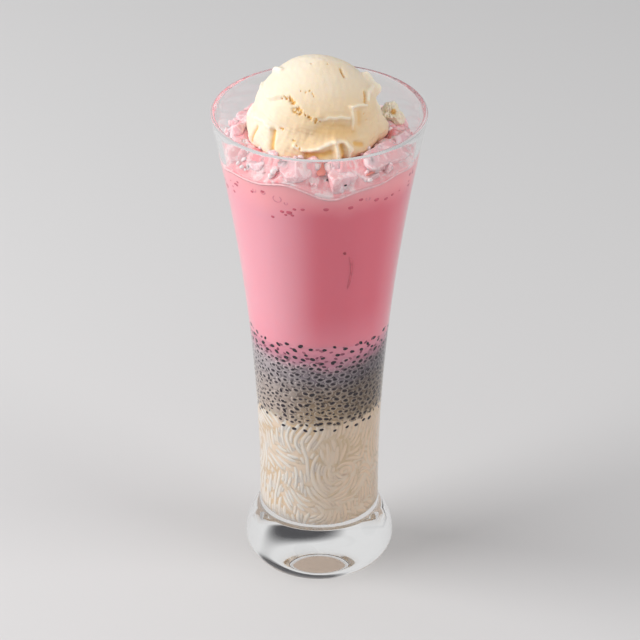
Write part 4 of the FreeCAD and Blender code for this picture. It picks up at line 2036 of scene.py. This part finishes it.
    def _relief(self, ray: np.ndarray) -> tuple[np.ndarray, np.ndarray, np.ndarray]:
        """Adds up the strokes and the fine relief.

        Args:
            ray: Unit directions from the middle of the scoop.

        Returns:
            Rise of the skin in millimetres, how far each point is in a pit or hollow, where shade is painted,
            and how far it is on a ridge, where a highlight is painted.
        """
        rng = np.random.default_rng(12)
        pit = np.zeros(len(ray))
        crest = np.zeros(len(ray))
        low = np.clip((0.55 - ray[:, 2]) / 0.6, 0.0, 1.0)
        rise = Relief.waves(ray, rng, ((3.0, 0.25), (5.5, 0.16), (9.0, 0.10))) * (0.35 + 0.65 * low)
        rise += Relief.waves(ray, rng, ((17.0, 0.11), (31.0, 0.09), (55.0, 0.07))) * (0.4 + 1.1 * low)
        for stroke in self.strokes:
            path = self._along(stroke.path)
            if stroke.mark in (Mark.PITS, Mark.SPECKS):
                holes = Relief.holes(ray, path, stroke.wide, self.radius, rng)
                if stroke.mark is Mark.PITS:
                    rise -= 1.3 * stroke.high * holes
                    pit = np.maximum(pit, holes)
                else:
                    rise += stroke.high * holes
                continue
            near = np.arccos(np.clip(ray @ path.T, -1, 1)) * self.radius
            gap = near.min(axis=1)
            if stroke.mark is Mark.STEP:
                along = path[near.argmin(axis=1)]
                below = (along[:, 2] - ray[:, 2]) * self.radius
                fall = np.clip(below / 0.5, -1.0, 1.0)
                rise -= stroke.high * fall * np.exp(-((gap / (stroke.wide * 2.2)) ** 2))
                continue
            bump = np.exp(-((gap / stroke.wide) ** 2))
            if stroke.mark is Mark.RIDGE:
                rise += 1.25 * stroke.high * bump
                crest = np.maximum(crest, bump)
            else:
                rise -= 1.25 * stroke.high * bump
                # Hollows are marked for painted shade too.
                pit = np.maximum(pit, (0.36 if stroke.wide > 2 else 0.55) * bump)
        return rise, pit, crest

    def build(self) -> list[bpy.types.Object]:
        """Builds the scoop and the crumb beside it.

        Returns:
            Scoop, crumb.
        """
        mid = np.array(self.middle)

        def place(u: Any, v: Any) -> Any:
            """Turns places on the grid into points of the skin, closer together in front."""
            front = math.radians(-100.0)
            t = 2 * np.pi * u
            turned = np.degrees(t - self.fine * np.sin(t - front))
            down = np.where(v < 0.87, 112.0 * v / 0.87, 112.0 + 68.0 * (v - 0.87) / 0.13)
            ray = Relief.directions(np.radians(turned), np.radians(down))
            rise, _, _ = self._relief(ray)
            return mid + ray * (self._reach(turned, down) + rise)[:, None]

        scoop = Bench.wrapped("scoop", self.around, self.down, place)
        _, pit, crest = self._relief(Bench.unit(Bench.points(scoop) / MM - mid))
        Bench.mark(scoop, "pit", pit)
        Bench.mark(scoop, "crest", crest)
        Bench.smooth(scoop)
        return [scoop, self._crumb()]

    def _crumb(self) -> bpy.types.Object:
        """Builds the broken crumb at the edge of the skirt."""
        reach = self.radius + self.skirt_out + self.crumb_out
        across, deep = reach * math.cos(self.crumb_turn), reach * math.sin(self.crumb_turn)
        at = np.array([self.middle[0] + across, deep, self.middle[2] - self.crumb_down])
        rng = np.random.default_rng(3)
        crumb = Bench.ball("crumb", 5)
        ray = Bench.unit(Bench.points(crumb) / MM)
        reach_out = np.zeros(len(ray))
        for place, r in self.crumb_balls:
            off = np.array(place)
            b = ray @ off
            c = off @ off - r * r
            reach_out = np.maximum(reach_out, b + np.sqrt(np.maximum(b * b - c, 0)))
        reach_out += Relief.waves(ray, rng, self.crumb_waves)
        Bench.put(crumb, (at + ray * reach_out[:, None]) * MM)
        Bench.smooth(crumb)
        # Painted shade: a spot on the crumb takes the pit colour, as a shaded hole.
        spot = np.array([0.35, -0.75, 0.55])
        spot /= np.linalg.norm(spot)
        Bench.mark(crumb, "pit", np.exp(-((np.arccos(np.clip(ray @ spot, -1, 1)) / 0.3) ** 2)))
        return crumb

    def dress(self, pieces: list[bpy.types.Object]) -> None:
        """Gives the ice cream its finish."""
        finish = CreamFinish()
        Bench.hand_over(pieces[0], Slot.CREAM, finish.material("ice_cream", finish.cream, 0.4), "ice_cream")
        Bench.hand_over(pieces[1], Slot.CREAM, finish.material("crumb", finish.crest, 0.6))


# ------------------------------------------------------------------ studio
@dataclass(frozen=True)
class Card:
    """An upright card out of view, turned towards the drink.

    Attributes:
        name: Name of the card.
        at: Its middle, in metres.
        size: Width and height in metres.
        colour: Its colour.
    """

    name: str
    at: Point
    size: tuple[float, float]
    colour: Colour = (0.03, 0.03, 0.035)


@dataclass(frozen=True)
class Lamp:
    """A soft panel lamp aimed at the drink.

    Attributes:
        name: Name of the lamp.
        at: Its place in metres.
        size: Width and height in metres.
        power: Watts.
        colour: Tint.
    """

    name: str
    at: Point
    size: tuple[float, float]
    power: float
    colour: Colour


@dataclass
class Studio:
    """Camera, lamps, world and floor."""

    camera_at: Point = (0.0, -1.06439, 0.73403)
    tilt: float = 59.5194
    lens: float = 175.66
    shift: float = 0.00125
    pale: Colour = (0.62, 0.62, 0.63)
    world: float = 0.42
    backdrop: float = 0.72
    cards: tuple[Card, ...] = (
        Card("card_back", (0.16, 0.7, 0.26), (0.8, 0.6)),
        Card("card_right", (0.5, 0.1, 0.16), (0.6, 0.34)),
        Card("card_front", (-0.22, -0.6, 0.1), (0.5, 0.3)),
    )
    lamps: tuple[Lamp, ...] = (
        Lamp("key", (-1.25, -0.15, 0.85), (1.1, 1.1), 25.0, (1.0, 0.985, 0.965)),
        Lamp("fill", (1.3, -0.5, 0.9), (0.9, 0.9), 10.0, (1.0, 0.98, 0.95)),
    )
    sensor: float = 36.0
    aim: Point = (0.0, 0.0, 0.12)

    def camera(self) -> None:
        """Sets the camera up."""
        Bench.clear()
        bpy.ops.object.camera_add(location=self.camera_at, rotation=(math.radians(self.tilt), 0, 0))
        made = Bench.adopt("camera")
        made.data.lens = self.lens
        made.data.sensor_width = self.sensor
        made.data.shift_x = self.shift
        made.data.clip_start = 0.05
        made.data.clip_end = 20.0
        bpy.context.scene.camera = made

    def lamp(self, lamp: Lamp) -> None:
        """Adds a lamp that neither reflections nor refractions show."""
        Bench.clear()
        bpy.ops.object.light_add(type="AREA", location=lamp.at)
        made = Bench.adopt(lamp.name)
        made.data.shape = "RECTANGLE"
        made.data.size, made.data.size_y = lamp.size
        made.data.energy = lamp.power
        made.data.color = lamp.colour
        made.visible_transmission = False
        made.visible_glossy = False
        towards = Vector(self.aim) - Vector(lamp.at)
        made.rotation_euler = towards.to_track_quat("-Z", "Y").to_euler()

    def surroundings(self) -> None:
        """Adds the world and the floor."""
        tree = Tree("studio", world=True)
        seen = tree.ray("Is Camera Ray").most(tree.ray("Is Transmission Ray")).most(tree.ray("Is Glossy Ray"))
        strength = seen * (self.backdrop - self.world) + self.world
        back = tree.node("ShaderNodeBackground", {}, {"Color": (1.0, 1.0, 1.0), "Strength": strength})
        bpy.context.scene.world = tree.surface(back.outputs[0])
        Bench.clear()
        bpy.ops.mesh.primitive_plane_add(size=8.0, location=(0, 0, -0.0004))
        floor = Bench.adopt("floor")
        tree = Tree("pale_floor")
        floor.data.materials.append(tree.finish(Base_Color=self.pale, Roughness=0.75))
        for card in self.cards:
            self.card(card)

    def card(self, card: Card) -> None:
        """Adds a card that only reflections and refractions show."""
        Bench.clear()
        away = Vector((card.at[0], card.at[1], 0.0))
        bpy.ops.mesh.primitive_plane_add(
            size=1.0, location=card.at, rotation=(math.pi / 2, 0, math.atan2(away.y, away.x) - math.pi / 2)
        )
        made = Bench.adopt(card.name)
        made.scale = (card.size[0], card.size[1], 1.0)
        tree = Tree(card.name)
        x, y, _ = tree.axes()
        seen = tree.ray("Is Glossy Ray").most(tree.ray("Is Transmission Ray"))
        inside = (1.0 - (x * x + y * y).step(0.09, 0.25)) * seen
        dark = tree.node("ShaderNodeBsdfDiffuse", {}, {"Color": card.colour})
        clear = tree.node("ShaderNodeBsdfTransparent", {}, {})
        both = tree.mixed(inside, clear.outputs[0], dark.outputs[0])
        made.data.materials.append(tree.surface(both))

    def build(self) -> None:
        """Sets up the whole studio."""
        self.camera()
        for lamp in self.lamps:
            self.lamp(lamp)
        self.surroundings()
        bpy.context.scene.view_settings.view_transform = "Standard"


def main() -> None:
    """Builds the drink from the glass inwards and upwards."""
    logging.basicConfig(level=logging.INFO, format="%(name)s %(message)s")
    Studio().build()
    lines = LayerLines()
    for part in (
        FootedGlass(lines.cup),
        VermicelliBed(lines),
        SeedLayer(lines),
        RoseMilk(lines),
        IceHeap(lines),
        Drips(lines),
        IceCreamScoop(),
    ):
        part.dress(part.build())


if __name__ == "__main__":
    main()
